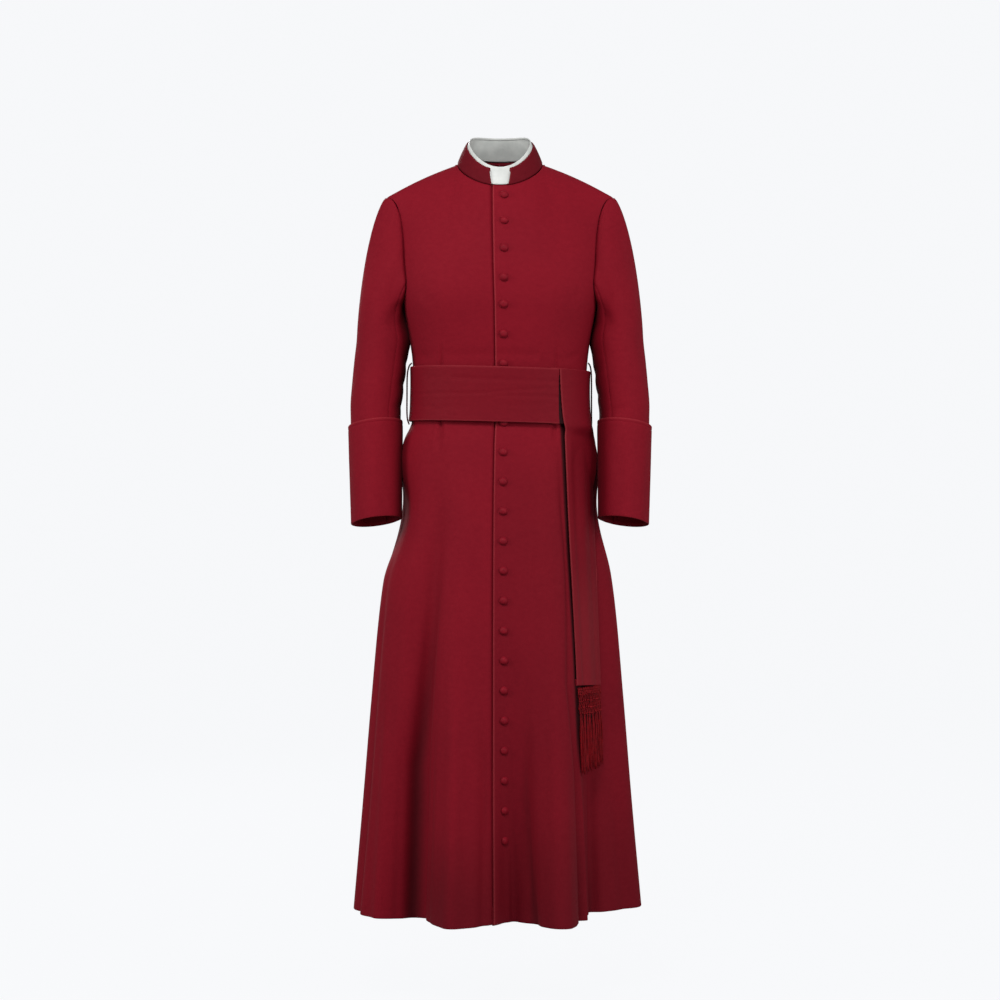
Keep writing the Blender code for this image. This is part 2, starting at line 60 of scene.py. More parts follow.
COLLAR_TOP_BACK = 0.0580
COLLAR_TOP_SIDE_Z = 0.0350
COLLAR_TOP_FRONT_Z = -0.0180
COLLAR_TOP_BACK_Z = 0.0500
NOTCH_BASE = 12.0
NOTCH_TOP = 19.0
INSERT_SHOW = 0.0065
BUTTON_RADIUS = 0.0075
BUTTON_HEIGHT = 0.0052
BUTTON_COUNT = 23
SASH_TOP = -0.380
SASH_BOTTOM = -0.478
SASH_START = 7.4
SASH_END = 397.4
SASH_PITCH = 0.0027
SASH_SLOPE = 0.0045
SASH_WALL = 0.0020
FALL_BOTTOM = -0.955
FALL_WIDTH = 0.100
FALL_START = 41.7
FALL_LEAN = 2.9
FALL_CLEAR = 0.0045
LOOP_CORD = 0.0014
TILT_FRONT = 0.009
TILT_OUTER = 0.006
FRONT_KEPT = 12.0         # degrees beside the closing that the armhole doesn't draw in
FRONT_SEAM = 126.0
HIND_SEAM = 252.0

# Horizontal sections: height, half width, depth to the front, depth to the back,
# squareness (2 is an ellipse), sideways drift of the centre.
BODY = [
    (-1.370, 0.2660, 0.2050, 0.2200, 2.00, -0.0045),
    (-1.175, 0.2490, 0.1900, 0.2030, 2.00, -0.0045),
    (-0.990, 0.2340, 0.1760, 0.1860, 2.05, -0.0040),
    (-0.805, 0.2170, 0.1580, 0.1680, 2.10, -0.0035),
    (-0.657, 0.1945, 0.1400, 0.1520, 2.15, -0.0030),
    (-0.560, 0.1820, 0.1280, 0.1400, 2.20, -0.0020),
    (-0.510, 0.1760, 0.1200, 0.1300, 2.20, -0.0010),
    (-0.478, 0.1635, 0.1130, 0.1160, 2.25, 0.0000),
    (-0.430, 0.1595, 0.1100, 0.1100, 2.30, 0.0000),
    (-0.380, 0.1605, 0.1110, 0.1090, 2.35, 0.0000),
    (-0.330, 0.1660, 0.1160, 0.1130, 2.50, 0.0000),
    (-0.270, 0.1770, 0.1220, 0.1200, 2.80, 0.0000),
]

# Skirt folds: name, angle at the hem, angle at the waist, half width in degrees,
# depth at the hem (out is positive), height where it starts, growth toward the hem.
FOLDS = [
    ("front right flute", -15.0, -20.0, 14.0, 0.042, -0.55, 1.3),
    ("front centre hollow", 7.0, 4.0, 11.0, -0.038, -0.70, 1.5),
    ("front left flute", 22.0, 29.0, 13.0, 0.052, -0.50, 1.2),
    ("left side hollow", 60.0, 66.0, 33.0, -0.064, -0.478, 0.45),
    ("front right valley", -37.0, -37.0, 13.0, -0.038, -0.50, 1.0),
    ("right side roll", -60.0, -57.0, 15.0, 0.010, -0.60, 1.0),
    ("back left flute", 119.0, 122.0, 17.0, 0.020, -0.52, 1.1),
    ("back left valley", 142.0, 144.0, 15.0, -0.030, -0.50, 1.0),
    ("back centre flute", 180.0, 180.0, 22.0, 0.026, -0.52, 1.1),
    ("back right valley", -144.0, -146.0, 15.0, -0.026, -0.50, 0.9),
    ("back right flute", -120.0, -123.0, 16.0, 0.023, -0.56, 1.2),
]

# Dents where the cuffs press on the skirt: name, angle, half width, height, half height, depth.
DENTS = [
    ("beside left cuff", 80.0, 44.0, -0.650, 0.112, 0.0120),
    ("beside right cuff", -80.0, 44.0, -0.652, 0.122, 0.0215),
    ("fullness inside left cuff", 90.0, 36.0, -0.560, 0.075, -0.0052),
    ("fullness inside right cuff", -90.0, 36.0, -0.560, 0.075, -0.0026),
]

# Armhole: share of the way up from the underarm, angle reached by the front and by the back.
ARMHOLE = [
    (0.00, 90.0, 90.0),
    (0.035, 76.0, 102.0),
    (0.085, 64.0, 111.0),
    (0.15, 60.0, 114.0),
    (0.25, 62.0, 113.0),
    (0.38, 66.0, 110.0),
    (0.52, 72.0, 105.0),
    (0.66, 78.0, 100.0),
    (0.79, 83.0, 96.0),
    (0.90, 87.0, 93.0),
    (1.00, 90.0, 90.0),
]

# Sleeve rings of the left arm: height, centre x, centre y, half width, half depth, tilt.
SLEEVE = [
    (-0.300, 0.2180, 0.0000, 0.0458, 0.0640, 0.1),
    (-0.328, 0.2163, -0.0010, 0.0491, 0.0640, 0.2),
    (-0.360, 0.2200, -0.0020, 0.0490, 0.0630, 0.3),
    (-0.400, 0.2245, -0.0040, 0.0485, 0.0620, 0.6),
    (-0.435, 0.2280, -0.0060, 0.0480, 0.0610, 0.9),
    (-0.470, 0.2300, -0.0100, 0.0455, 0.0585, 1.0),
    (-0.560, 0.2297, -0.0200, 0.0445, 0.0565, 1.0),
    (-0.656, 0.2278, -0.0320, 0.0430, 0.0545, 1.0),
]
CUFF = [
    (-0.481, 0.2308, -0.0110, 0.0495, 0.0620, 1.0),
    (-0.570, 0.2295, -0.0210, 0.0475, 0.0600, 1.0),
    (-0.658, 0.2278, -0.0320, 0.0457, 0.0572, 1.0),
]
# Way the sleeve head leaves the armhole and comes into the first ring, as shares of its length:
# ring angle (0 outer, 90 front), leave x, leave y, leave z, arrive x, arrive z.
HEAD = [
    (0.0, 0.33, 0.00, -0.49, 0.067, -1.04),
    (90.0, 0.48, -0.30, -0.30, 0.05, -1.10),
    (180.0, 0.06, 0.00, -0.60, -0.20, -1.10),
    (270.0, 0.48, 0.30, -0.30, 0.05, -1.10),
    (360.0, 0.33, 0.00, -0.49, 0.067, -1.04),
]
# Fall of the cincture below the band: height, x of its front edge, way it runs back in plan.
FALL = [
    (-0.4780, 0.1178, 59.0),
    (-0.5300, 0.1198, 60.0),
    (-0.6600, 0.1250, 61.0),
    (-0.8000, 0.1320, 62.0),
    (-0.9550, 0.1395, 63.0),
    (-1.1100, 0.1450, 63.0),
]

# ---------------------------------------------------------------- sizes of the visible cloth
WALL = 0.0011             # wall of one layer of cloth
FOLD_RADIUS = 0.0013      # half thickness of a turned edge
LAP_DIP = 0.0046          # how far the under front steps in below the lap
SEAM_GAP = 0.0003         # how far each panel is drawn back from a seam
SEAM_DRAW = 0.004         # half width of the strip that is drawn back
TURN_DEPTH = 0.0014       # depth of an allowance that turns straight inward
UNDER_REACH = 0.0090      # seam allowance that runs on under the next panel
UNDER_DEPTH = 0.0026      # and how far below its outer face
SEAM_SINK = 0.0009        # how far the cloth sinks beside a seam
SEAM_SOFT = 0.0028        # half width of that hollow
HEM_STITCH = 0.034        # lines of stitching, from the edge they follow
LAP_STITCH = 0.0056
CUFF_TOP_STITCH = 0.0055
CUFF_HEM_STITCH = 0.030
COLLAR_STITCH = 0.0042
FALL_STITCH = 0.011
LOOP_BACK = 0.008         # how far behind the middle the belt loops stand
FALL_FREE = -0.506        # height below which the fall hangs free of the band
FALL_LEAVES = 0.030       # stretch over which it leaves the band
STRAND_END_FRONT = -1.116     # ends of the fringe at the front and hind edge of the fall
STRAND_END_BACK = -1.100

# How far painted shade darkens each fold, sheltered place or shaded stretch, 0 to 1.
SHADE_VALLEY = 0.80
SHADE_BESIDE_FALL = 0.93
SHADE_LEFT_SKIRT = 0.15
SHADE_HEM = 0.31
SHADE_TUBE_CREASE = 0.35
SHADE_SLEEVE = 0.85
SHADE_CUFF = 0.45
SHADE_COLLAR = 0.46
SHADE_INNER_TURN = 0.95

MM = 1000.0               # millimetres in a metre
LABELS = {1.0: "left", -1.0: "right"}


# ---------------------------------------------------------------- small maths, on arrays
def blend(low, high, share):
    return low + (high - low) * share


def through(front, side, back, c):
    """Smooth value round the neck: front at c = 1, side at c = 0, back at c = -1."""
    return side + (front - back) / 2.0 * c + ((front + back) / 2.0 - side) * c * c


def ease(share):
    share = np.clip(share, 0.0, 1.0)
    return share * share * (3.0 - 2.0 * share)


def hermite(start, leave, end, arrive, t):
    t2 = t * t
    t3 = t2 * t
    return (start * (2 * t3 - 3 * t2 + 1) + leave * (t3 - 2 * t2 + t)
            + end * (3 * t2 - 2 * t3) + arrive * (t3 - t2))


def table_values(table, keys):
    """All columns of a table at many keys, on a smooth curve through its rows."""
    rows = np.array(sorted(table), float)
    steps = rows[:, 0]
    keys = np.clip(keys, steps[0], steps[-1])
    low = np.clip(np.searchsorted(steps, keys) - 1, 0, len(steps) - 2)
    high = low + 1
    before = np.maximum(low - 1, 0)
    after = np.minimum(low + 2, len(steps) - 1)
    span = steps[high] - steps[low]
    t = (keys - steps[low]) / span
    found = []
    for column in rows.T[1:]:
        slope_low = (column[high] - column[before]) / (steps[high] - steps[before]) * span
        slope_high = (column[after] - column[low]) / (steps[after] - steps[low]) * span
        found.append(hermite(column[low], slope_low, column[high], slope_high, t))
    return found


def wrap(angle):
    """The same direction between -180 and 180 degrees."""
    return (angle + 180.0) % 360.0 - 180.0


def turn_between(angle, middle):
    """Size of the turn from one angle to another, in degrees."""
    return np.abs(wrap(angle - middle))


def sine_cosine(degrees):
    return np.sin(np.radians(degrees)), np.cos(np.radians(degrees))


def rounding(s, c, square):
    """Reach of a squared-off ellipse in the direction of this sine and cosine."""
    return (np.abs(s) ** square + np.abs(c) ** square) ** (-1.0 / square)


def spaced(first, last, fine, start, count):
    """Places from edge to edge: fine steps beside both edges, even ones from start on."""
    fine = np.array(fine)
    inner = np.linspace(first + start, last - start, count)
    return np.concatenate([first + fine, inner, last - fine[::-1]])


def unit(vectors):
    length = np.linalg.norm(vectors, axis=-1, keepdims=True)
    return vectors / np.maximum(length, 1e-9)


def way_along(points, axis=0):
    """Way from the first point to each point, along an axis of the array."""
    steps = np.linalg.norm(np.diff(points, axis=axis), axis=-1)
    return np.insert(np.cumsum(steps, axis=axis), 0, 0.0, axis=axis)


def grid_normals(grid):
    return unit(np.cross(np.gradient(grid, axis=1), np.gradient(grid, axis=0)))


def together(*values):
    """Values as arrays of floats of one shape."""
    return np.broadcast_arrays(*(np.asarray(value, float) for value in values))


# ---------------------------------------------------------------- body surface
def fold_depth(angle, z):
    depth = np.zeros(np.broadcast(angle, z).shape)
    for _name, hem_angle, waist_angle, half, size, start, growth in FOLDS:
        down = np.clip((start - z) / (start - HEM), 0.0, None)
        away = turn_between(angle, blend(waist_angle, hem_angle, down)) / half
        bump = size * down ** growth * np.cos(np.radians(90.0 * away)) ** 2
        depth += np.where(away < 1.0, bump, 0.0)
    for _name, middle, half, height, half_height, size in DENTS:
        across = np.minimum(turn_between(angle, middle) / half, 1.0)
        along = np.minimum(np.abs(z - height) / half_height, 1.0)
        depth -= size * (np.cos(np.radians(90.0 * across)) * np.cos(np.radians(90.0 * along))) ** 2
    return depth


def section(angle, z, folded=True):
    half, front, back, square, drift = table_values(BODY, z)
    s, c = sine_cosine(angle)
    reach = rounding(s, c, square)
    x = half * reach * s
    y = -np.where(c > 0, front, back) * reach * c
    if folded:
        grow = 1.0 + fold_depth(angle, z) / np.hypot(x, y)
    else:
        grow = 1.0
    return np.stack(np.broadcast_arrays(x * grow + drift, y * grow, z), axis=-1)


def neck_point(turn):
    """Neck base at a turn from the centre front, in degrees."""
    s, c = sine_cosine(turn)
    deep = np.where(c > 0, NECK_FRONT, NECK_BACK)
    return np.stack((NECK_HALF * s, -deep * c, through(-NECK_DROP, 0.0, NECK_RISE, c)), axis=-1)


def top_edge(angle):
    """Neckline, then shoulder seam, reached by the column at this angle; and how it arrives."""
    side = np.where(angle >= 0, 1.0, -1.0)
    turn = np.abs(angle)
    in_front = turn <= 90.0
    away = np.where(in_front, turn, 180.0 - turn)
    along = np.minimum(away / NECK_ANGLE, 1.0) * 90.0
    neck = neck_point(np.where(in_front, along, 180.0 - along))
    share = np.clip((away - NECK_ANGLE) / (90.0 - NECK_ANGLE), 0.0, 1.0)
    tip = np.array(SHOULDER_TIP)
    shoulder = np.array((NECK_HALF, 0.0, 0.0)) * (1.0 - share[..., None]) + tip * share[..., None]
    shoulder[..., 2] += 0.004 * np.sin(np.pi * share)
    point = np.where((away <= NECK_ANGLE)[..., None], neck, shoulder)
    point[..., 0] *= side
    toward = ease(away / NECK_ANGLE)
    arrive = np.zeros(point.shape)
    arrive[..., 1] = np.where(in_front, blend(0.085, 0.120, toward), blend(-0.060, -0.120, toward))
    arrive[..., 2] = np.where(in_front, blend(0.150, 0.002, toward), blend(0.200, 0.002, toward))
    return point, arrive


def surface(angle, level):
    """Outer face: level is a height up to the underarm, then underarm plus a share of the rest."""
    angle, level = together(angle, level)
    low = section(angle, np.minimum(level, UNDERARM))
    start = section(angle, np.full(angle.shape, UNDERARM))
    below = section(angle, np.full(angle.shape, UNDERARM - 0.01))
    end, arrive = top_edge(angle)
    t = np.maximum(level - UNDERARM, 0.0)[..., None]
    high = hermite(start, (start - below) / 0.01 * 0.30, end, arrive, t)
    return np.where((level <= UNDERARM)[..., None], low, high)


def surface_normal(angle, level):
    along = surface(angle + 0.4, level) - surface(angle - 0.4, level)
    up = surface(angle, np.minimum(level + 0.006, UNDERARM + 1.0)) - surface(angle, level - 0.006)
    return unit(np.cross(along, up))


def edge_angle(level):
    """The folded edge of the lap stands a little to the wearer's right of the centre."""
    return blend(-1.2, -3.0, (np.clip(level, HEM, 0.0) - HEM) / -HEM)


def squeeze(angle, level, behind=False):
    """Draw the columns in above the underarm so that the last one runs on the armhole."""
    front, back = table_values(ARMHOLE, level - UNDERARM)
    side = np.where(angle >= 0, 1.0, -1.0)
    if behind:
        drawn = side * (180.0 - (180.0 - np.abs(angle)) * (180.0 - back) / 90.0)
        return np.where(level > UNDERARM, drawn, angle)
    away = np.abs(angle) - FRONT_KEPT
    drawn = side * (FRONT_KEPT + away * (front - FRONT_KEPT) / (90.0 - FRONT_KEPT))
    return np.where((level > UNDERARM) & (away > 0.0), drawn, angle)


# ---------------------------------------------------------------- sheets of cloth
class Sheet:
    """Rows of points from low to high, with the outward direction at each point.

    light is 1 on a pressed edge, where a painted highlight makes the cloth paler; shade is 1 deep in
    a fold, where painted shade makes it darkest.
    """

    def __init__(self, grid, out):
        self.grid = grid
        self.out = out
        self.light = np.zeros(grid.shape[:2])
        self.shade = np.zeros(grid.shape[:2])

    def darken(self, amount):
        self.shade = np.maximum(self.shade, amount)

    def brighten(self, amount):
        self.light = np.maximum(self.light, amount)

    def push(self, amount):
        self.grid = self.grid + self.out * amount[..., None]

    def from_edge(self, side):
        """Arrays seen from one edge: the edge comes first along the first axis."""
        arrays = (self.grid, self.out, self.shade)
        if side in ("first", "last"):
            arrays = [array.swapaxes(0, 1) for array in arrays]
        if side in ("last", "high"):
            arrays = [array[::-1] for array in arrays]
        return arrays

    def distance(self, side):
        """Way from an edge to each point, along the sheet."""
        way = way_along(self.from_edge(side)[0])
        if side in ("last", "high"):
            way = way[::-1]
        if side in ("first", "last"):
            way = way.swapaxes(0, 1)
        return way

    def near(self, side, soft):
        """1 on an edge, falling away softly from it."""
        return np.exp(-(self.distance(side) / soft) ** 2)

    def add_strips(self, side, strips):
        """Put rows or columns outside an edge: points, outward directions and light of each."""
        edge_shade = self.from_edge(side)[2][0]
        strips = [(points, outs, np.full(len(points), light), edge_shade)
                  for points, outs, light in strips]
        before = side in ("first", "low")
        axis = 1 if side in ("first", "last") else 0
        if before:
            strips = strips[::-1]
        joined = []
        for slot, old in enumerate((self.grid, self.out, self.light, self.shade)):
            new = np.stack([strip[slot] for strip in strips], axis=axis)
            joined.append(np.concatenate([new, old] if before else [old, new], axis=axis))
        self.grid, self.out, self.light, self.shade = joined

    def edge_frame(self, side):
        grid, out, _shade = self.from_edge(side)
        edge = grid[0]
        normal = out[0]
        away = edge - grid[2]
        away = unit(away - normal * np.sum(away * normal, axis=-1, keepdims=True))
        return edge, normal, away

    def sink(self, side, depth=SEAM_SINK, soft=SEAM_SOFT):
        """Soft hollow along a seam or beside an edge."""
        self.push(-depth * self.near(side, soft))

    def seam(self, side, depth=SEAM_SINK):
        """Draw an edge back a little into its own panel, and sink the cloth beside it."""
        _edge, _normal, away = self.edge_frame(side)
        away = away[:, None] if side in ("first", "last") else away[None]
        self.grid = self.grid - away * (SEAM_GAP * self.near(side, SEAM_DRAW))[..., None]
        self.sink(side, depth)

    def turn_in(self, side):
        """Edge of a seam that turns straight inward."""
        edge, normal, away = self.edge_frame(side)
        self.add_strips(side, [(edge + away * 0.0001 - normal * depth, normal, 0.0)
                               for depth in (0.0006, 0.6 * TURN_DEPTH, TURN_DEPTH)])

    def lie_under(self, side, reach=UNDER_REACH, depth=UNDER_DEPTH, share=1.0):
        """Seam allowance that runs on under the neighbouring panel and closes the seam.

        share is 0 where the allowance turns straight inward instead.
        """
        edge, normal, away = self.edge_frame(side)
        away = away * np.broadcast_to(share, edge.shape[:1])[:, None]
        steps = ((0.0001, 0.0006), (0.0003, 0.85 * depth), (0.0016, depth), (reach, 1.15 * depth))
        self.add_strips(side, [(edge + away * out - normal * down, normal, 0.0) for out, down in steps])

    def fold_under(self, side, radius=FOLD_RADIUS, back=0.0030, light=1.0):
        """Turned edge: half a round of cloth, then a facing that follows the sheet inside; light paints a
        highlight along the round.
        """
        edge, normal, away = self.edge_frame(side)
        strips = []
        for share in (0.17, 0.33, 0.5, 0.67, 0.83, 1.0):
            s = sin(pi * share)
            c = cos(pi * share)
            point = edge + away * radius * s - normal * radius * (1.0 - c)
            strips.append((point, normal, light * max(0.0, s)))
        grid, out, _shade = self.from_edge(side)
        way = np.linalg.norm(np.diff(grid, axis=0), axis=-1).mean(axis=1).cumsum()
        inside = int(np.searchsorted(way, back)) + 1
        for share in (0.25, 0.5, 0.75, 1.0):
            at = max(1, int(round(inside * share)))
            if at < len(grid) - 1:
                strips.append((grid[at] - out[at] * 2.0 * radius, out[at], 0.0))
        self.add_strips(side, strips)

    def topstitch(self, side, at, depth=0.00035, soft=0.0007):
        """Shallow groove of a line of stitching, a small way in from an edge."""
        self.push(-depth * np.exp(-((self.distance(side) - at) / soft) ** 2))


def mesh_object(name, vertices, faces, material):
    """Smooth-shaded mesh object in the scene."""
    mesh = bpy.data.meshes.new(name)
    mesh.from_pydata(np.asarray(vertices).tolist(), [], faces)
    mesh.polygons.foreach_set("use_smooth", np.ones(len(mesh.polygons), bool))
    mesh.materials.append(material)
    mesh.update()
    obj = bpy.data.objects.new(name, mesh)
    bpy.context.scene.collection.objects.link(obj)
    return obj


def declare(obj, node):
    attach(obj, "root")
    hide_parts(node)


def make_cloth(node, sheet, material, flat, area, part="cloth", slot="cassock_cloth", wall=WALL,
               closed=False, flip=False, held="hung", rests_on=(), with_pieces=()):
    """Mesh object of a sheet, thickened inward, with a weave map in metres.

    node is the CAD node it shows. flat, the width and length of its cut, and area, the flat area
    of that cut, are not used.
    """
    grid = sheet.grid
    if closed:
        grid = np.concatenate([grid, grid[:, :1]], axis=1)
    rows, wide = grid.shape[:2]
    across = way_along(grid, 1)
    across = across - across[:, wide // 2][:, None]
    up = np.broadcast_to(way_along(grid)[:, wide // 2][:, None], across.shape)
    weave = np.stack((across, up), axis=-1)

    own = wide - 1 if closed else wide
    index = np.arange(rows)[:, None] * own + np.arange(wide)[None, :] % own
    corners = ((0, 0), (0, 1), (1, 1), (1, 0))
    if flip:
        corners = corners[::-1]
    faces = np.stack([index[i:rows - 1 + i, j:wide - 1 + j] for i, j in corners], axis=-1)
    maps = np.stack([weave[i:rows - 1 + i, j:wide - 1 + j] for i, j in corners], axis=-2)

    obj = mesh_object("%s_%s" % (node, part), sheet.grid.reshape(-1, 3), faces.reshape(-1, 4).tolist(),
                      material)
    layer = obj.data.uv_layers.new(name="weave")
    layer.data.foreach_set("uv", maps.reshape(-1, 2).astype(np.float32).ravel())
    for key, values in (("edge", sheet.light), ("shade", np.clip(sheet.shade, 0.0, 1.0))):
        layer = obj.data.attributes.new(key, "FLOAT", "POINT")
        layer.data.foreach_set("value", values.reshape(-1).astype(np.float32))
    obj.data.update()
    thick = obj.modifiers.new("cloth", "SOLIDIFY")
    thick.thickness = wall
    thick.offset = -1.0
    thick.use_even_offset = False
    declare(obj, node)


# ---------------------------------------------------------------- creases
def crease_push(angle, z, metric, creases):
    """Soft troughs and ridges along short given lines; metric is metres to a radian.

    The points of a crease are angle and height in metres, its other sizes are in millimetres.
    """
    push = np.zeros(angle.shape)
    deep = np.zeros(angle.shape)
    for _name, points, depth_a, depth_b, width_a, width_b, fade_a, fade_b in creases:
        best = np.full(angle.shape, 1e9)
        place = np.zeros(angle.shape)
        last = len(points) - 1
        for at in range(last):
            (angle_a, z_a), (angle_b, z_b) = points[at], points[at + 1]
            way_x = np.radians(angle_b - angle_a) * metric
            way_z = z_b - z_a
            x = np.radians(wrap(angle - angle_a)) * metric
            up = z - z_a
            share = np.clip((x * way_x + up * way_z) / (way_x ** 2 + way_z ** 2), 0.0, 1.0)
            gap = (x - share * way_x) ** 2 + (up - share * way_z) ** 2
            nearer = gap < best
            best = np.where(nearer, gap, best)
            place = np.where(nearer, (at + share) / last, place)
        gap = np.sqrt(best)
        width = blend(width_a, width_b, place) / MM
        shape = np.exp(-(gap / width) ** 2) - 0.22 * np.exp(-((gap - 2.1 * width) / width) ** 2)
        weight = np.ones(angle.shape)
        if fade_a:
            weight = weight * ease(place / fade_a)
        if fade_b:
            weight = weight * ease((1.0 - place) / fade_b)
        depth = blend(depth_a, depth_b, place) / MM * weight
        push += depth * shape
        deep = np.maximum(deep, -depth * np.exp(-(gap / (0.9 * width)) ** 2))
    return push, deep


VIEWS = {"front": 0.0, "left": 90.0, "back": 180.0, "right": -90.0}


def half_round(view):
    """Sample points of the body seen from one side, with their angles."""
    middle = VIEWS[view]
    angles, levels = np.meshgrid(np.arange(middle - 80.0, middle + 80.1, 0.5),
                                 np.concatenate([np.arange(HEM, UNDERARM, 0.01),
                                                 UNDERARM + np.arange(0.0, 1.01, 0.02)]))
    angles = wrap(angles)
    return angles, surface(angles, levels)


HALF_ROUNDS = {view: half_round(view) for view in VIEWS}


def look_up_angle(view, way, z):
    """Angle of the body point that stands at x (front, back) or y (left, right) and at height z."""
    angles, points = HALF_ROUNDS[view]
    off = points[..., 1 if view in ("left", "right") else 0] - way
    gap = off ** 2 + (points[..., 2] - z) ** 2
    return float(angles.flat[int(np.argmin(gap))])


def placed(table):
    """Crease rows whose points are read from one side, turned into angle and height."""
    return [(name, [(look_up_angle(view, way / MM, z / MM), z / MM) for way, z in points], *sizes)
            for name, view, points, *sizes in table]


# Crease tables are in millimetres. Body creases: name, side they are read from, points (x or y,
# height), depth at the two ends (out is positive), half width at the two ends, share faded at them.
BODY_CREASES = [
    ("right waist dart", "front", [(-107, -322), (-107, -384)], -1, -3, 2.2, 3, 0.7, 0),
    ("left waist dart", "front", [(101, -322), (102, -384)], -1, -2.8, 2.2, 3, 0.7, 0),
    ("right tuck", "front", [(-108, -470), (-110, -505), (-113, -545)], -5.2, -1.2, 3.4, 7, 0, 0.5),
    ("left tuck", "front", [(98, -470), (98, -500), (100, -525)], -4.2, -1, 3.2, 6, 0, 0.5),
    ("right long valley", "front",
     [(-112, -560), (-116.5, -820), (-132, -970), (-148, -1100), (-157, -1400)],
     -3, -12.5, 12, 20, 0.3, 0),
    ("right long ridge", "front", [(-86, -900), (-83, -1100), (-88, -1400)], 1, 7, 10, 15, 0.4, 0),
    ("beside the closing", "front", [(-26, -930), (-24, -1150), (-26, -1400)],
     -1.5, -6.5, 8, 13, 0.4, 0),
    ("left inner valley", "front", [(40, -880), (46, -1150), (56, -1400)], -2, -12, 11, 17, 0.4, 0),
    ("left inner flute", "front", [(92, -850), (98, -1100), (104, -1400)], 0.8, 6, 12, 18, 0.4, 0),
    ("under the fall", "front", [(104, -500), (119, -700), (124, -950), (134, -1140), (140, -1400)],
     -4, -8, 7, 10, 0.2, 0),
    ("left hem ridge", "front", [(143, -1060), (146, -1220), (148, -1400)], 1.5, 8, 5.5, 6.5, 0.4, 0),
    ("left hem valley", "front", [(163, -1020), (166, -1220), (168, -1400)], -1.5, -10, 9, 12, 0.4, 0),
    ("right outer ridge", "front", [(-200, -900), (-208, -1100), (-219, -1400)], 1, 5, 8, 11, 0.4, 0),
    ("right outer hollow", "front", [(-178, -980), (-184, -1150), (-190, -1400)], -1, -5, 9, 12, 0.4, 0),
    ("right armpit pull", "front", [(-150, -240), (-126, -262), (-104, -276)],
     -1.4, -0.6, 6, 9, 0.2, 0.6),
    ("left armpit pull", "front", [(150, -240), (129, -258), (110, -270)], -1.4, -0.6, 6, 9, 0.2, 0.6),
    ("right waist drag", "front", [(-148, -356), (-124, -366), (-92, -372)], -1, -0.6, 5, 6, 0.3, 0.5),
    ("left waist drag", "front", [(148, -352), (126, -362), (98, -370)], -1, -0.6, 5, 6, 0.3, 0.5),
    ("left side long valley", "left", [(-18, -560), (-30, -900), (-36, -1400)], -1, -7, 11, 17, 0.4, 0),
    ("left side flute", "left", [(48, -600), (60, -950), (78, -1400)], 1, 7, 11, 16, 0.4, 0),
    ("right side long valley", "right", [(-40, -640), (-52, -950), (-66, -1400)],
     -1, -6.5, 10, 15, 0.4, 0),
    ("right side flute", "right", [(36, -560), (44, -900), (50, -1400)], 1, 8, 11, 18, 0.4, 0),
    ("right side back valley", "right", [(82, -700), (104, -1000), (118, -1400)],
     -1, -7.5, 9, 14, 0.4, 0),
    ("back left dart", "back", [(82, -300), (80, -384)], -1, -3, 2.2, 3, 0.7, 0),
    ("back right dart", "back", [(-82, -300), (-80, -384)], -1, -3, 2.2, 3, 0.7, 0),
    ("back left tuck", "back", [(79, -470), (82, -510), (88, -560)], -5, -1.2, 3.4, 7, 0, 0.5),
    ("back right tuck", "back", [(-79, -470), (-81, -515), (-85, -580)], -4.8, -1.2, 3.4, 7, 0, 0.5),
    ("back left valley", "back", [(88, -560), (112, -900), (142, -1400)], -1.5, -10, 10, 16, 0.3, 0),
    ("back left ridge", "back", [(50, -640), (62, -950), (78, -1400)], 1, 8, 10, 16, 0.4, 0),
    ("back middle valley", "back", [(12, -720), (16, -1000), (24, -1400)], -1, -8, 9, 14, 0.4, 0),
    ("back right ridge", "back", [(-44, -600), (-52, -930), (-60, -1400)], 1, 8.5, 10, 17, 0.4, 0),
    ("back right valley", "back", [(-90, -590), (-108, -900), (-128, -1400)],
     -1.5, -9.5, 10, 15, 0.3, 0),
    ("back outer flute", "back", [(-150, -760), (-166, -1050), (-186, -1400)], 1, 7, 10, 15, 0.4, 0),
    ("back outer left flute", "back", [(158, -820), (176, -1080), (196, -1400)], 1, 6.5, 10, 15, 0.4, 0),
    ("back left drag", "back", [(136, -200), (108, -236), (86, -262)], -2.4, -0.6, 7, 10, 0.2, 0.6),
    ("back right drag", "back", [(-136, -196), (-106, -232), (-80, -252)], -2.4, -0.6, 7, 10, 0.2, 0.6),
    ("small of the back", "back", [(-70, -352), (4, -362), (74, -350)], -1.6, -1.4, 6, 6, 0.4, 0.4),
]
PLACED_CREASES = placed(BODY_CREASES)


# ---------------------------------------------------------------- panels
LOW_STEP = 0.0060
LEVELS = np.concatenate([
    np.linspace(HEM, UNDERARM, int((UNDERARM - HEM) / LOW_STEP) + 1),
    UNDERARM + 1.0 - (1.0 - np.linspace(0.0, 1.0, 58)[1:]) ** 1.15,
])


def panel_angles(first, last, count):
    """Angles of the columns of a panel."""
    return spaced(first, last, [0.0, 0.25, 0.6, 1.05, 1.6, 2.3], 3.1, count - 12)


def smooth_upper(sheet, angles, level):
    """Ease the bend that runs down from the corner of neck and shoulder, away from all edges."""
    high = ease((level - UNDERARM + 0.010) / 0.20) * ease((UNDERARM + 0.985 - level) / 0.12)
    first = angles - angles[:, :1]
    last = angles[:, -1:] - angles
    free = (high * ease((first - 3.0) / 9.0) * ease((last - 3.0) / 9.0))[:, 1:-1, None]
    grid = sheet.grid.copy()
    for _step in range(260):
        between = (grid[:, 2:] + grid[:, :-2]) / 2.0 - grid[:, 1:-1]
        normal = sheet.out[:, 1:-1]
        grid[:, 1:-1] += 0.5 * free * normal * np.sum(between * normal, axis=-1, keepdims=True)
    sheet.grid = grid
    weight = np.pad(free, ((0, 0), (1, 1), (0, 0)))
    sheet.out = unit(sheet.out * (1.0 - weight) + grid_normals(grid) * weight)


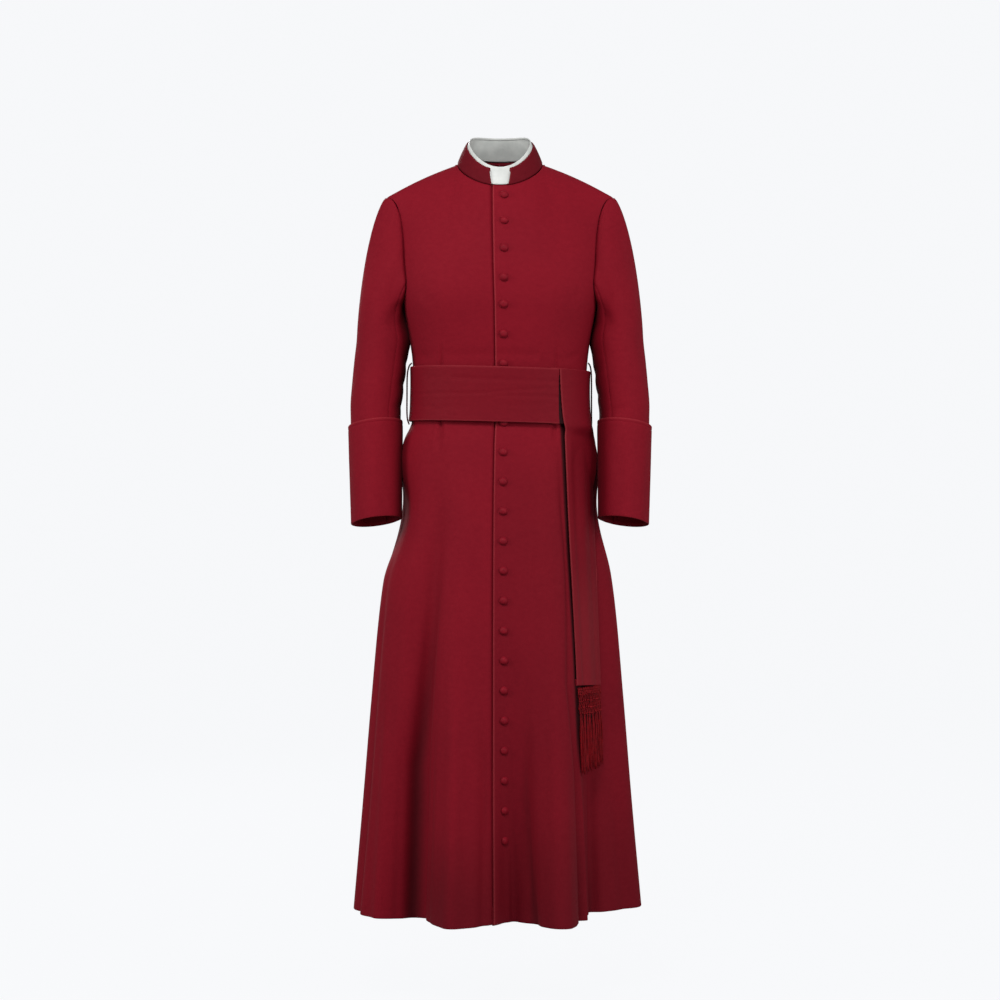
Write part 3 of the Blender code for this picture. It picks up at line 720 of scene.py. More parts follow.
def body_sheet(angles, behind):
    """Sheet through the body at angles of shape (rows, columns)."""
    level = np.broadcast_to(LEVELS[:, None], angles.shape)
    turn = squeeze(angles, level, behind)
    grid = surface(turn, level)
    along = surface(turn + 0.4, level) - surface(turn - 0.4, level)
    metric = np.linalg.norm(along, axis=-1) / radians(0.8)
    sheet = Sheet(grid, surface_normal(turn, level))
    smooth_upper(sheet, angles, level)
    push, deep = crease_push(turn, grid[..., 2], metric, PLACED_CREASES)
    sheet.push(push)
    # Painted shade darkens the bottoms of the deeper valleys.
    sheet.darken(ease((deep - 0.0015) / 0.0130) * SHADE_VALLEY)
    return sheet


def finish_panel(sheet, sides, lap=None, under=()):
    """Seams on the sides and the top, a turned hem, and a turned lap edge where there is one."""
    for side in (*sides, "high"):
        sheet.seam(side)
    sheet.topstitch("low", HEM_STITCH, depth=0.0003, soft=0.0010)
    if lap:
        sheet.sink(lap, depth=-0.0005, soft=0.0030)
        # Painted highlight along the lap edge.
        sheet.brighten(0.6 * sheet.near(lap, 0.0009))
        sheet.topstitch(lap, LAP_STITCH)
    for side in sides:
        if side in under:
            # The allowance turns straight inward near the shoulder tip.
            edge = sheet.from_edge(side)[0][0]
            flat = ease((-0.0800 - edge[:, 2]) / 0.0200)
            centre = ease((0.1000 - np.abs(edge[:, 0])) / 0.0300)
            sheet.lie_under(side, share=np.maximum(flat, centre))
        else:
            sheet.turn_in(side)
    if lap:
        sheet.fold_under(lap, back=0.012)
    if "high" in under:
        edge = sheet.grid[-1]
        sheet.lie_under("high", share=ease((0.1960 - np.abs(edge[:, 0])) / 0.0120))
    else:
        sheet.turn_in("high")
    sheet.fold_under("low", radius=0.0015, back=0.030, light=0.5)


def front_left(material):
    base = panel_angles(0.0, 90.0, 122)
    start = edge_angle(LEVELS)[:, None]
    sheet = body_sheet(start + base[None, :] * (90.0 - start) / 90.0, behind=False)
    # Painted shadow darkens the skirt along the front edge of the fall and behind it.
    x = sheet.grid[..., 0]
    z = sheet.grid[..., 2]
    gap = table_values(FALL, z)[0] - x
    width = blend(0.0085, 0.0115, np.clip((z + 0.960) / 0.480, 0.0, 1.0))
    beside = ease((width - gap) / 0.0050) * ease((gap + 0.040) / 0.010)
    sheet.darken(SHADE_BESIDE_FALL * beside * ease((z + 1.125) / 0.090) * ease((-0.455 - z) / 0.010))
    # Painted shade: the skirt a little darker below the waist and more so toward the hem.
    sheet.darken(SHADE_LEFT_SKIRT * ease((-0.500 - z) / 0.120))
    sheet.darken(SHADE_HEM * ease((-1.050 - z) / 0.250))
    finish_panel(sheet, ["last"], lap="first", under=["last", "high"])
    make_cloth("front_left", sheet, material, flat=(0.460, 1.470), area=0.470)


def front_right(material):
    base = panel_angles(-90.0, 0.0, 118)
    start = edge_angle(LEVELS)[:, None]
    shown = -90.0 + (base[None, :] + 90.0) * (90.0 + start) / 90.0
    under = start + np.linspace(0.6, UNDERLAP, 10)[None, :]
    angles = np.concatenate([shown, under], axis=1)
    sheet = body_sheet(angles, behind=False)
    dip = ease((angles - (start - 2.4)) / 2.2)
    sheet.push(-LAP_DIP * dip)
    # Painted shade darkens the skirt toward the hem, fading away toward the side.
    low = ease((-1.150 - sheet.grid[..., 2]) / 0.180)
    sheet.darken(SHADE_HEM * low * ease((angles + 50.0) / 30.0))
    finish_panel(sheet, ["first", "last"], under=["first", "high"])
    make_cloth("front_right", sheet, material, flat=(0.470, 1.470), area=0.475)


def back_panel(side, material):
    base = panel_angles(90.0, 180.0, 102)
    if side < 0:
        base = -base[::-1]
    angles = np.broadcast_to(base[None, :], (len(LEVELS), len(base)))
    sheet = body_sheet(angles, behind=True)
    finish_panel(sheet, ["first", "last"], under=["last"] if side > 0 else [])
    make_cloth("back_" + LABELS[side], sheet, material, flat=(0.430, 1.490), area=0.435)


# ---------------------------------------------------------------- sleeves
def armhole_line(in_front):
    """Points of one half of the armhole from the shoulder tip down, and the way along them."""
    share = np.linspace(1.0, 0.0, 240)
    front, back = table_values(ARMHOLE, share)
    points = surface(front if in_front else back, UNDERARM + share)
    return points, way_along(points)


ARMHOLE_LINES = {True: armhole_line(True), False: armhole_line(False)}


def armhole_ring(psi):
    """Armhole at ring angles: 0 at the shoulder tip, 90 in front, 180 at the underarm."""
    psi = psi % 360.0
    goal = np.where(psi <= 180.0, psi, 360.0 - psi) / 180.0
    found = []
    for in_front in (True, False):
        points, way = ARMHOLE_LINES[in_front]
        found.append(np.stack([np.interp(goal * way[-1], way, points[:, i]) for i in range(3)], axis=-1))
    return np.where((psi <= 180.0)[..., None], found[0], found[1])


def tube_ring(table, psi, z):
    cx, cy, half, deep, tilt = table_values(table, z)
    ahead, across = sine_cosine(psi)
    lift = tilt * (TILT_FRONT * ahead - TILT_OUTER * across)
    return np.stack((cx + half * across, cy - deep * ahead, z + lift), axis=-1)


def sleeve_point(psi, place):
    """Left sleeve: place runs from 1 at the armhole to 0 at the first ring, then on down in metres."""
    start = armhole_ring(psi)
    start[..., 0] += 0.0010
    end = tube_ring(SLEEVE, psi, np.full(psi.shape, SLEEVE[0][0]))
    length = np.linalg.norm(end - start, axis=-1)
    leave_x, leave_y, leave_z, arrive_x, arrive_z = table_values(HEAD, psi % 360.0)
    leave = np.stack((leave_x, leave_y, leave_z), axis=-1) * length[..., None]
    arrive = np.stack((arrive_x, np.zeros(psi.shape), arrive_z), axis=-1) * length[..., None]
    t = 1.0 - np.clip(place, 0.0, 1.0)[..., None]
    head = hermite(start, leave, end, arrive, t)
    tube = tube_ring(SLEEVE, psi, SLEEVE[0][0] + np.minimum(place, 0.0))
    return np.where((place > 0.0)[..., None], head, tube)


SLEEVE_PLACES = np.concatenate([np.linspace(-0.356, 0.0, 78)[:-1], np.linspace(0.0, 1.0, 52)])

# Sleeve creases: name, points (ring angle, height), then as for the body.
# Ring angle 0 is the outer side, 90 the front, 180 toward the body, 270 behind.
SLEEVE_CREASES = {
    "left": [
        ("inner elbow", [(205, -392), (158, -382), (118, -366)], -1.8, -1.4, 7, 9, 0.25, 0.6),
        ("inner elbow low", [(212, -430), (166, -424), (124, -436)], -1.4, -1.4, 6, 9, 0.25, 0.6),
        ("front pull", [(132, -262), (112, -300), (98, -346)], -2.2, -0.8, 8, 11, 0.3, 0.6),
        ("above the cuff", [(140, -462), (100, -454), (62, -448)], -1.8, -0.8, 6, 8, 0.3, 0.6),
        ("outer soft", [(30, -280), (38, -350), (28, -420)], -1.2, -1.2, 12, 12, 0.4, 0.4),
        ("behind elbow", [(262, -360), (300, -372), (330, -366)], -3, -1, 7, 10, 0.3, 0.6),
        ("behind elbow low", [(256, -412), (292, -420), (322, -414)], -2.6, -1, 6, 9, 0.3, 0.6),
        ("behind head", [(246, -190), (262, -240), (270, -300)], -2.6, -1, 8, 11, 0.3, 0.5),
    ],
    "right": [
        ("inner elbow", [(208, -372), (162, -366), (126, -350)], -1.6, -1.4, 7, 9, 0.25, 0.6),
        ("inner elbow low", [(206, -412), (168, -404), (122, -414)], -1.6, -1.4, 6.2, 9, 0.25, 0.6),
        ("inner elbow third", [(204, -448), (160, -446), (128, -456)], -1.2, -1.2, 5.6, 8, 0.25, 0.6),
        ("front pull", [(136, -250), (116, -292), (104, -330)], -2.4, -0.8, 8, 11, 0.3, 0.6),
        ("outer soft", [(20, -300), (30, -370), (20, -440)], -1.2, -1.2, 12, 12, 0.4, 0.4),
        ("behind elbow", [(258, -372), (296, -380), (326, -374)], -3, -1, 7, 10, 0.3, 0.6),
        ("behind elbow low", [(260, -424), (290, -432), (326, -428)], -2.6, -1, 6, 9, 0.3, 0.6),
        ("behind head", [(248, -186), (262, -232), (268, -290)], -2.6, -1, 8, 11, 0.3, 0.5),
    ],
}


def tube_sheet(point_at, psi, place, creases, side, inner_painted_shade):
    """Sheet of a tube round the arm, with its creases, on the wearer's left or right."""
    psi, place = np.meshgrid(psi, place)
    grid = point_at(psi, place)
    around = point_at(psi + 1.0, place) - point_at(psi - 1.0, place)
    up = point_at(psi, np.minimum(place + 0.004, 1.0)) - point_at(psi, place - 0.004)
    out = unit(np.cross(up, around))
    sheet = Sheet(grid, out)
    metric = np.linalg.norm(around, axis=-1) / radians(2.0)
    lines = [(name, [(angle, z / MM) for angle, z in points], *sizes) for name, points, *sizes in creases]
    push, deep = crease_push(psi, grid[..., 2], metric, lines)
    sheet.push(push)
    # The side toward the body, which the arm shelters, is darkened by painted shade. Under the arm it
    # closes up to the body panel, and the cuff hangs close beside the skirt.
    z = grid[..., 2]
    sheet.darken(ease((50.0 - turn_between(psi, 178.0)) / 48.0) * ease((-0.200 - z) / 0.070) * inner_painted_shade)
    off = turn_between(psi, 180.0)
    near = ease((36.0 - off) / 30.0)
    broad = ease((80.0 - off) / 30.0)
    sheet.push(0.0016 * near * ease((-0.235 - z) / 0.020) * ease((z + 0.350) / 0.020))
    sheet.push(0.0022 * broad * ease((-0.203 - z) / 0.018) * ease((z + 0.268) / 0.018))
    sheet.push(0.0024 * near * ease((-0.430 - z) / 0.070))
    # Painted shade darkens the bottoms of the creases.
    sheet.darken(ease((deep - 0.0010) / 0.0060) * SHADE_TUBE_CREASE)
    if side < 0:
        sheet.grid = sheet.grid * np.array((-1.0, 1.0, 1.0))
        sheet.out = sheet.out * np.array((-1.0, 1.0, 1.0))
    return sheet


SLEEVE_CUTS = {
    "top": {"flat": (0.260, 0.650), "area": 0.127},
    "under": {"flat": (0.145, 0.500), "area": 0.052},
}


def sleeve_piece(kind, first, last, count, side, material):
    label = LABELS[side]
    psi = spaced(first, last, [0.0, 0.7, 1.6, 2.8, 4.2], 5.8, count)
    sheet = tube_sheet(sleeve_point, psi, SLEEVE_PLACES, SLEEVE_CREASES[label], side, SHADE_SLEEVE)
    for edge in ("first", "last"):
        sheet.seam(edge, depth=0.0007)
    sheet.sink("high", depth=0.0010)
    for edge in ("first", "last"):
        if kind == "top":
            sheet.lie_under(edge, reach=0.0060, depth=0.0022)
        else:
            sheet.turn_in(edge)
    # Below the shoulder the allowance of the head runs on under the body; at the tip it turns in.
    tip = ease((turn_between(psi, 0.0) - 24.0) / 26.0)
    added = 4 if kind == "top" else 3
    sheet.lie_under("high", reach=0.0080, share=np.pad(tip, added, mode="edge"))
    make_cloth("sleeve_%s_%s" % (kind, label), sheet, material, flip=side > 0,
               rests_on=["front_%s_cloth" % label, "back_%s_cloth" % label], **SLEEVE_CUTS[kind])


CUFF_CREASES = {
    "left": [
        ("front soft", [(118, -500), (104, -570), (112, -650)], -1, -1.8, 11, 13, 0.4, 0),
        ("outer soft", [(20, -500), (34, -580), (30, -650)], -0.8, -1.4, 12, 14, 0.4, 0),
        ("behind soft", [(262, -500), (284, -580), (280, -650)], -1, -1.8, 11, 13, 0.4, 0),
    ],
    "right": [
        ("front soft", [(96, -500), (112, -580), (108, -650)], -1, -1.8, 11, 13, 0.4, 0),
        ("outer soft", [(34, -500), (22, -570), (26, -650)], -0.8, -1.4, 12, 14, 0.4, 0),
        ("behind soft", [(284, -500), (266, -580), (272, -650)], -1, -1.8, 11, 13, 0.4, 0),
    ],
}


def cuff_point(psi, place):
    return tube_ring(CUFF, psi, CUFF[0][0] + place)


def cuff_piece(side, material):
    label = LABELS[side]
    psi = np.arange(0.0, 360.0, 3.0)
    depth = CUFF[0][0] - CUFF[-1][0]
    place = np.concatenate([np.linspace(-depth, -0.008, 42), np.linspace(-0.0066, 0.0, 8)])
    sheet = tube_sheet(cuff_point, psi, place, CUFF_CREASES[label], side, SHADE_CUFF)
    sheet.topstitch("high", CUFF_TOP_STITCH, depth=0.0006, soft=0.0011)
    sheet.topstitch("low", CUFF_HEM_STITCH, depth=0.0002, soft=0.0010)
    # Painted highlight along the top edge.
    sheet.brighten(0.4 * sheet.near("high", 0.0012))
    sheet.fold_under("high", radius=0.0014, back=0.005, light=0.5)
    sheet.fold_under("low", radius=0.0014, back=0.040, light=0.4)
    make_cloth("cuff_" + label, sheet, material, closed=True, flip=side > 0, flat=(0.360, 0.230),
               area=0.077, rests_on=["sleeve_top_%s_cloth" % label])


# ---------------------------------------------------------------- collar
def collar_surface(turn, share, inward=0.0, beyond=0.0):
    s, c = sine_cosine(turn)
    base = neck_point(turn) + np.array((0.0, 0.0, COLLAR_LIFT))
    reach = np.where(c > 0, COLLAR_TOP_FRONT, COLLAR_TOP_BACK)
    top_z = through(COLLAR_TOP_FRONT_Z, COLLAR_TOP_SIDE_Z, COLLAR_TOP_BACK_Z, c)
    top = np.stack((COLLAR_TOP_HALF * s, -reach * c, top_z), axis=-1)
    up = unit(top - base)
    point = base + (top - base) * share[..., None] + up * np.asarray(beyond)[..., None]
    out = unit(np.stack((s / NECK_HALF, -c / NECK_FRONT, np.zeros(s.shape)), axis=-1))
    return point - out * inward, out


def collar_piece(material):
    share = np.linspace(-0.016, 1.0, 26)[:, None]
    start = blend(NOTCH_BASE, NOTCH_TOP, share)
    place = (1.0 - np.cos(np.linspace(0.0, pi, 190))) / 2.0 * 0.35 + np.linspace(0.0, 1.0, 190) * 0.65
    turn = start + (360.0 - 2.0 * start) * place[None, :]
    grid, out = collar_surface(turn, np.broadcast_to(share, turn.shape))
    sheet = Sheet(grid, out)
    # The stand swells a little between its edges, and the stitching runs round near them.
    sheet.push(0.0011 * np.sin(np.pi * np.clip(np.broadcast_to(share, turn.shape), 0.0, 1.0)) ** 0.7)
    # Along each edge: stitching, a soft hollow and a painted highlight.
    for edge in ("first", "last", "high"):
        sheet.topstitch(edge, COLLAR_STITCH)
        sheet.sink(edge, depth=0.0005, soft=0.0012)
        sheet.brighten(0.35 * sheet.near(edge, 0.0010))
    sheet.sink("low", depth=0.0007, soft=0.0020)
    for edge in ("first", "last"):
        sheet.fold_under(edge, radius=0.0012, back=0.004, light=0.35)
    sheet.fold_under("high", radius=0.0012, back=0.006, light=0.35)
    # Painted shade darkens the whole collar evenly.
    sheet.darken(SHADE_COLLAR)
    sheet.lie_under("low", reach=0.0070, depth=0.0021)
    make_cloth("collar", sheet, material, wall=0.0010, flat=(0.450, 0.070), area=0.0225,
               rests_on=["front_left_cloth"])


def insert_piece(material):
    rows = np.concatenate([np.linspace(0.03, 0.9, 16), np.linspace(0.92, 1.0, 8)])[:, None]
    turn = np.broadcast_to(np.arange(0.0, 360.0, 3.0)[None, :], (len(rows), 120))
    share = np.broadcast_to(rows, turn.shape)
    grid, out = collar_surface(turn, share, inward=0.0036, beyond=INSERT_SHOW * share)
    sheet = Sheet(grid, out)
    # Soft ridge that frames the tab seen in the notch, and the tab's own faint lower line.
    tab = turn_between(turn, 0.0)
    sheet.push(0.0007 * ease((15.5 - tab) / 3.0) * ease((0.86 - share) / 0.10))
    sheet.push(-0.0004 * np.exp(-((share - 0.20) / 0.03) ** 2) * ease((14.0 - tab) / 3.0))
    sheet.fold_under("high", radius=0.0007, back=0.003, light=0.0)
    make_cloth("collar_insert", sheet, material, part="band", wall=0.0006, closed=True,
               slot="collar_insert", flat=(0.430, 0.056), area=0.0185, rests_on=["collar_cloth"])


# ---------------------------------------------------------------- buttons
def button_height(index):
    """Heights of the buttons: slightly closer over the first four, then even."""
    if index < 4:
        return -0.0655 - 0.0475 * index - 0.0012 * index * index
    return -0.2668 - 0.0533 * (index - 4)


def level_at(angle, z):
    if z <= UNDERARM:
        return z
    low = 0.0
    high = 1.0
    for _step in range(30):
        middle = (low + high) / 2.0
        if surface(angle, UNDERARM + middle)[2] < z:
            low = middle
        else:
            high = middle
    return UNDERARM + low


# Button profile: share of the radius, share of the height.
BUTTON_PROFILE = [(0.0, 1.0), (0.20, 0.985), (0.40, 0.93), (0.58, 0.83), (0.74, 0.68), (0.87, 0.49),
                  (0.96, 0.28), (1.0, 0.10), (0.965, -0.04), (0.86, -0.10), (0.60, -0.11), (0.0, -0.11)]
BUTTON_SPOKES = 48


def ringed_faces(rings, sides):
    """Faces of stacked rings of points, closed by one more point at each end."""
    end = rings * sides
    faces = []
    for j in range(sides):
        k = (j + 1) % sides
        faces.append((end, j, k))
        faces.append((end + 1, end - sides + k, end - sides + j))
        for low in range(0, end - sides, sides):
            faces.append((low + j, low + sides + j, low + sides + k, low + k))
    return faces


def button_mesh(index):
    """Cloth-covered dome: the cloth is drawn in small pleats over the rim."""
    rng = np.random.default_rng(100 + index)
    profile = np.array(BUTTON_PROFILE)
    turn = np.linspace(0.0, 2.0 * pi, BUTTON_SPOKES, endpoint=False)
    pleats = rng.integers(13, 17)
    wave = np.cos(pleats * turn + rng.uniform(0.0, 6.0)) + 0.5 * np.cos(5 * turn + rng.uniform(0.0, 6.0))
    tilt = rng.uniform(-0.05, 0.05, 2)
    points = []
    for share, high in profile[1:-1]:
        grip = ease((share - 0.70) / 0.3) if high > -0.05 else 1.0
        radius = share * BUTTON_RADIUS * (1.0 + 0.018 * grip * wave)
        lean = tilt[0] * np.cos(turn) + tilt[1] * np.sin(turn)
        lift = high * BUTTON_HEIGHT + share * BUTTON_RADIUS * lean
        points.append(np.stack((radius * np.cos(turn), radius * np.sin(turn), lift), axis=-1))
    ends = [(0.0, 0.0, profile[i, 1] * BUTTON_HEIGHT) for i in (0, -1)]
    return np.concatenate(points + [ends]), ringed_faces(len(points), BUTTON_SPOKES)


def solid_object(node, part, vertices, faces, material):
    obj = mesh_object("%s_%s" % (node, part), vertices, faces, material)
    declare(obj, node)
    return obj


def button_piece(index, material):
    z = button_height(index)
    angle = blend(2.0, 3.0, index / (BUTTON_COUNT - 1))
    level = level_at(angle, z)
    out = surface_normal(angle, level)
    place = surface(angle, level) + out * 0.0014
    vertices, faces = button_mesh(index)
    side = unit(np.cross(np.array((0.0, 0.0, 1.0)), out))
    frame_axes = np.stack((side, np.cross(out, side), out))
    solid_object("button_%02d" % (index + 1), "cover", vertices @ frame_axes + place, faces, material)


# ---------------------------------------------------------------- cincture
def sash_point(angle, share):
    """Outer face of the band, drawn round the waist and clear of the button under it."""
    z = blend(SASH_BOTTOM, SASH_TOP, share)
    half, front, back, square, _drift = table_values(BODY, z)
    out = 0.0018 + SASH_WALL + SASH_PITCH * (angle - SASH_START) / 360.0
    s, c = sine_cosine(angle)
    reach = rounding(s, c, square)
    deep = np.where(c > 0, front + 0.0048, back)
    x = (half + out) * reach * s
    y = -(deep + out) * reach * c
    return np.stack(np.broadcast_arrays(x, y, z - SASH_SLOPE * x / half), axis=-1)


# Creases of the band: name, points (angle, share of its height), then as for the body.
BAND_CREASES = [
    ("long fold line", [(278, 0.47), (345, 0.5), (398, 0.66)], -0.6, -0.6, 2.4, 2.2, 0.2, 0),
    ("upper soft line", [(300, 0.78), (352, 0.8)], -0.3, -0.2, 4, 4, 0.4, 0.4),
    ("right drag", [(286, 0.3), (322, 0.22), (350, 0.26)], -0.4, -0.2, 3.2, 4, 0.3, 0.5),
    ("left drag", [(395, 0.36), (374, 0.3), (352, 0.33)], -0.4, -0.2, 3, 4, 0.2, 0.5),
    ("back fold line", [(118, 0.4), (176, 0.52), (238, 0.44)], -0.9, -0.8, 2.2, 2.2, 0.3, 0.3),
    ("back drag", [(150, 0.74), (196, 0.8), (226, 0.72)], -0.6, -0.5, 3.4, 3.4, 0.3, 0.3),
]


def band_piece(material):
    angle = np.concatenate([np.arange(SASH_START, SASH_END - 2.0, 1.75),
                            np.linspace(SASH_END - 2.0, SASH_END, 7)])
    share = spaced(0.0, 1.0, [0.0, 0.012, 0.03, 0.055, 0.09], 0.13, 24)
    angle, share = np.meshgrid(angle, share)
    grid = sash_point(angle, share)
    along = sash_point(angle + 0.4, share) - sash_point(angle - 0.4, share)
    up = sash_point(angle, share + 0.02) - sash_point(angle, share - 0.02)
    sheet = Sheet(grid, unit(np.cross(along, up)))
    metric = np.linalg.norm(along, axis=-1) / radians(0.8)
    tall = SASH_TOP - SASH_BOTTOM
    lines = [(name, [(wrap(turn), up * tall) for turn, up in points], *sizes)
             for name, points, *sizes in BAND_CREASES]
    outer_turn = ease((angle - 60.0) / 20.0)
    push, _deep = crease_push(wrap(angle), share * tall, metric, lines)
    sheet.push(push * outer_turn)
    # The inner turn shows only between the outer end and the fall, darkened there by painted shadow.
    hidden = ease(angle - (SASH_END - 361.0)) * ease((70.0 - angle) / 10.0)
    sheet.darken(hidden * SHADE_INNER_TURN)
    sheet.push(0.0009 * np.sin(np.pi * share) * outer_turn)
    # Soft hollows and a painted highlight along both edges.
    for side in ("low", "high"):
        sheet.sink(side, depth=0.0005, soft=0.0016)
        sheet.brighten(0.5 * sheet.near(side, 0.0012))
    sheet.fold_under("last", radius=0.0009, back=0.012, light=0.6)
    for side in ("low", "high"):
        sheet.fold_under(side, radius=0.0009, back=0.014, light=0.5)
    make_cloth("cincture_band", sheet, material, wall=0.0008, slot="cincture_cloth",
               flat=(1.060, 0.140), area=0.136, held="stretched", rests_on=["front_left_cloth"])


def fall_on_band(share, z, out):
    """Point on the stretch that lies over the band, a share of the way back."""
    high = (z - SASH_BOTTOM) / (SASH_TOP - SASH_BOTTOM)
    angle = FALL_START - FALL_LEAN * high + share * 45.0
    along = sash_point(angle + 0.5, high) - sash_point(angle - 0.5, high)
    away = unit(np.stack((along[..., 1], -along[..., 0], np.zeros(along.shape[:-1])), axis=-1))
    return sash_point(angle, high) + away * (SASH_WALL + 0.0007 + out)[..., None]


def fall_hanging(z, share, out):
    """Point on the free stretch: a straight line in plan, or the skirt where that stands further out."""
    front_x, way = table_values(FALL, z)
    low = np.full(z.shape, 28.0)
    high = np.full(z.shape, 60.0)
    for _step in range(22):
        middle = (low + high) / 2.0
        inside = (surface(middle, z) + surface_normal(middle, z) * FALL_CLEAR)[..., 0] < front_x
        low = np.where(inside, middle, low)
        high = np.where(inside, high, middle)
    front = surface(low, z) + surface_normal(low, z) * FALL_CLEAR
    flat = np.zeros(z.shape)
    s, c = sine_cosine(way)
    across = np.stack((c, s, flat), axis=-1)
    away = np.stack((across[..., 1], -across[..., 0], flat), axis=-1)
    point = front + across * (FALL_WIDTH * share)[..., None]
    point += away * (0.004 * np.sin(np.pi * share))[..., None]
    half, front_deep, _back, _square, drift = table_values(BODY, z)
    angle = np.degrees(np.arctan2((point[..., 0] - drift) / half, -point[..., 1] / front_deep))
    least = np.linalg.norm(section(angle, z)[..., :2], axis=-1) + FALL_CLEAR
    reach = np.linalg.norm(point[..., :2], axis=-1)
    grow = np.maximum(least / reach, 1.0)
    point[..., :2] *= grow[..., None]
    return point + away * out[..., None], away


def fall_place(z, share, out):
    """Point and outward direction anywhere on the fall, smoothly off the band and down."""
    z, share, out = together(z, share, out)
    below = np.minimum(z, SASH_BOTTOM)
    hanging, away = fall_hanging(below, share, out)
    hanging = hanging + np.stack((0 * z, 0 * z, z - below), axis=-1)
    onto = ease((z - FALL_FREE) / FALL_LEAVES)[..., None]
    return hanging * (1.0 - onto) + fall_on_band(share, z, out) * onto, away


# Long soft folds of the fall: name, share across at the top and at the bottom, top height,
# bottom height, depth, half width as a share of its width.
FALL_FOLDS = [
    ("front roll", 0.10, 0.12, -0.420, -0.960, 0.0012, 0.060),
    ("front hollow", 0.27, 0.24, -0.470, -0.980, -0.0016, 0.085),
    ("middle roll", 0.50, 0.47, -0.500, -0.980, 0.0014, 0.110),
    ("hind hollow", 0.74, 0.77, -0.440, -0.980, -0.0014, 0.090),
]


def fall_piece(material, fringe):
    share = spaced(0.0, 1.0, [0.0, 0.012, 0.03, 0.055, 0.085], 0.12, 30)
    z = np.concatenate([[FALL_BOTTOM, FALL_BOTTOM + 0.0015],
                        np.linspace(FALL_BOTTOM + 0.004, SASH_TOP, 190)])
    share, z = np.meshgrid(share, z)
    grid, _away = fall_place(z, share, np.zeros(z.shape))
    grid[..., 2] -= 0.006 * (share - 0.5) * ease((SASH_TOP - z) / 0.5)
    sheet = Sheet(grid, grid_normals(grid))
    for _name, top_share, low_share, top, low, depth, half in FALL_FOLDS:
        down = np.clip((top - z) / (top - low), 0.0, 1.0)
        middle = blend(top_share, low_share, down)
        sheet.push(depth * ease(down * 3.0) * np.exp(-((share - middle) / half) ** 2))
    # Painted light makes the lower part of the fall paler.
    sheet.brighten(0.25 * ease((-0.720 - z) / 0.120))
    sheet.topstitch("low", FALL_STITCH, depth=0.0006, soft=0.0012)
    # Painted highlight along both long edges.
    for side in ("first", "last"):
        sheet.brighten(0.8 * sheet.near(side, 0.0014))
        sheet.fold_under(side, radius=0.0010, back=0.012, light=0.9)
    for side in ("low", "high"):
        sheet.fold_under(side, radius=0.0010, back=0.010, light=0.4)
    make_cloth("cincture_fall", sheet, material, wall=0.0009, slot="cincture_cloth",
               flat=(0.134, 0.620), area=0.079, rests_on=["cincture_band_cloth"], with_pieces=[fringe])


# ---------------------------------------------------------------- cords, knots and strands
def tube(path, radius, sides=6, twist=0.0, groove=0.0):
    """Closed tube round a path; radius is one value or one for each point."""
    path = np.asarray(path, float)
    count = len(path)
    radius = np.broadcast_to(np.asarray(radius, float), (count,))
    way = unit(np.gradient(path, axis=0))
    side = np.cross(way, np.array((0.35, -0.93, 0.1)))
    side = unit(side)
    other = np.cross(way, side)
    length = way_along(path)
    turn = np.linspace(0.0, 2.0 * pi, sides, endpoint=False)
    swell = 1.0 + groove * np.cos(2.0 * turn[None, :] + twist * length[:, None])
    ring = side[:, None] * np.cos(turn)[None, :, None] + other[:, None] * np.sin(turn)[None, :, None]
    points = path[:, None] + ring * (radius[:, None] * swell)[..., None]
    vertices = points.reshape(-1, 3)
    faces = []
    for i in range(count - 1):
        for j in range(sides):
            k = (j + 1) % sides
            faces.append((i * sides + j, i * sides + k, (i + 1) * sides + k, (i + 1) * sides + j))
    faces.append(tuple(range(sides))[::-1])
    faces.append(tuple((count - 1) * sides + j for j in range(sides)))
    return vertices, faces


KNOT_RINGS = 5
KNOT_SIDES = 8


def knot(centre, radius, rng):
    """Small lumpy knot."""
    vertices = []
    for i in range(1, KNOT_RINGS):
        tall = pi * i / KNOT_RINGS
        for j in range(KNOT_SIDES):
            turn = 2.0 * pi * j / KNOT_SIDES
            swell = 1.0 + 0.16 * sin(3.0 * turn + 5.0 * tall) + rng.uniform(-0.06, 0.06)
            wide = sin(tall) * swell
            vertices.append((wide * cos(turn), wide * sin(turn), cos(tall) * 1.15))
    vertices += [(0.0, 0.0, 1.1), (0.0, 0.0, -1.1)]
    return np.array(vertices) * radius + centre, ringed_faces(KNOT_RINGS - 1, KNOT_SIDES)


def joined(parts):
    """Vertices and faces of several small meshes as one."""
    vertices = []
    faces = []
    start = 0
    for points, polygons in parts:
        vertices.append(points)
        faces += [tuple(start + i for i in face) for face in polygons]
        start += len(points)
    return np.concatenate(vertices), faces


NET_TOP = -0.9575
NET_ROWS = (-0.9700, -0.9820, -0.9940, -1.0040)
NET_KNOTS = 15
NET_REACH = 0.589         # how far to the side a cord of the net runs, in knot spacings
TOP_REACH = 1.2           # and a cord from the hem of the fall
NET_CORD = 0.00075
KNOT_RADIUS = 0.0019
STRAND_RADIUS = 0.00085
STRANDS_PER_KNOT = 5
FRINGE_TOP = -0.945
FRINGE_END = -1.125


def fringe_chart():
    """Points and outward directions of the fall's surface, carried on down over the fringe."""
    share, z = np.meshgrid(np.linspace(0.0, 1.0, 41), np.linspace(FRINGE_END, FRINGE_TOP, 46))
    points, away = fall_place(z, share, np.zeros(z.shape))
    return np.concatenate([points, away], axis=-1)


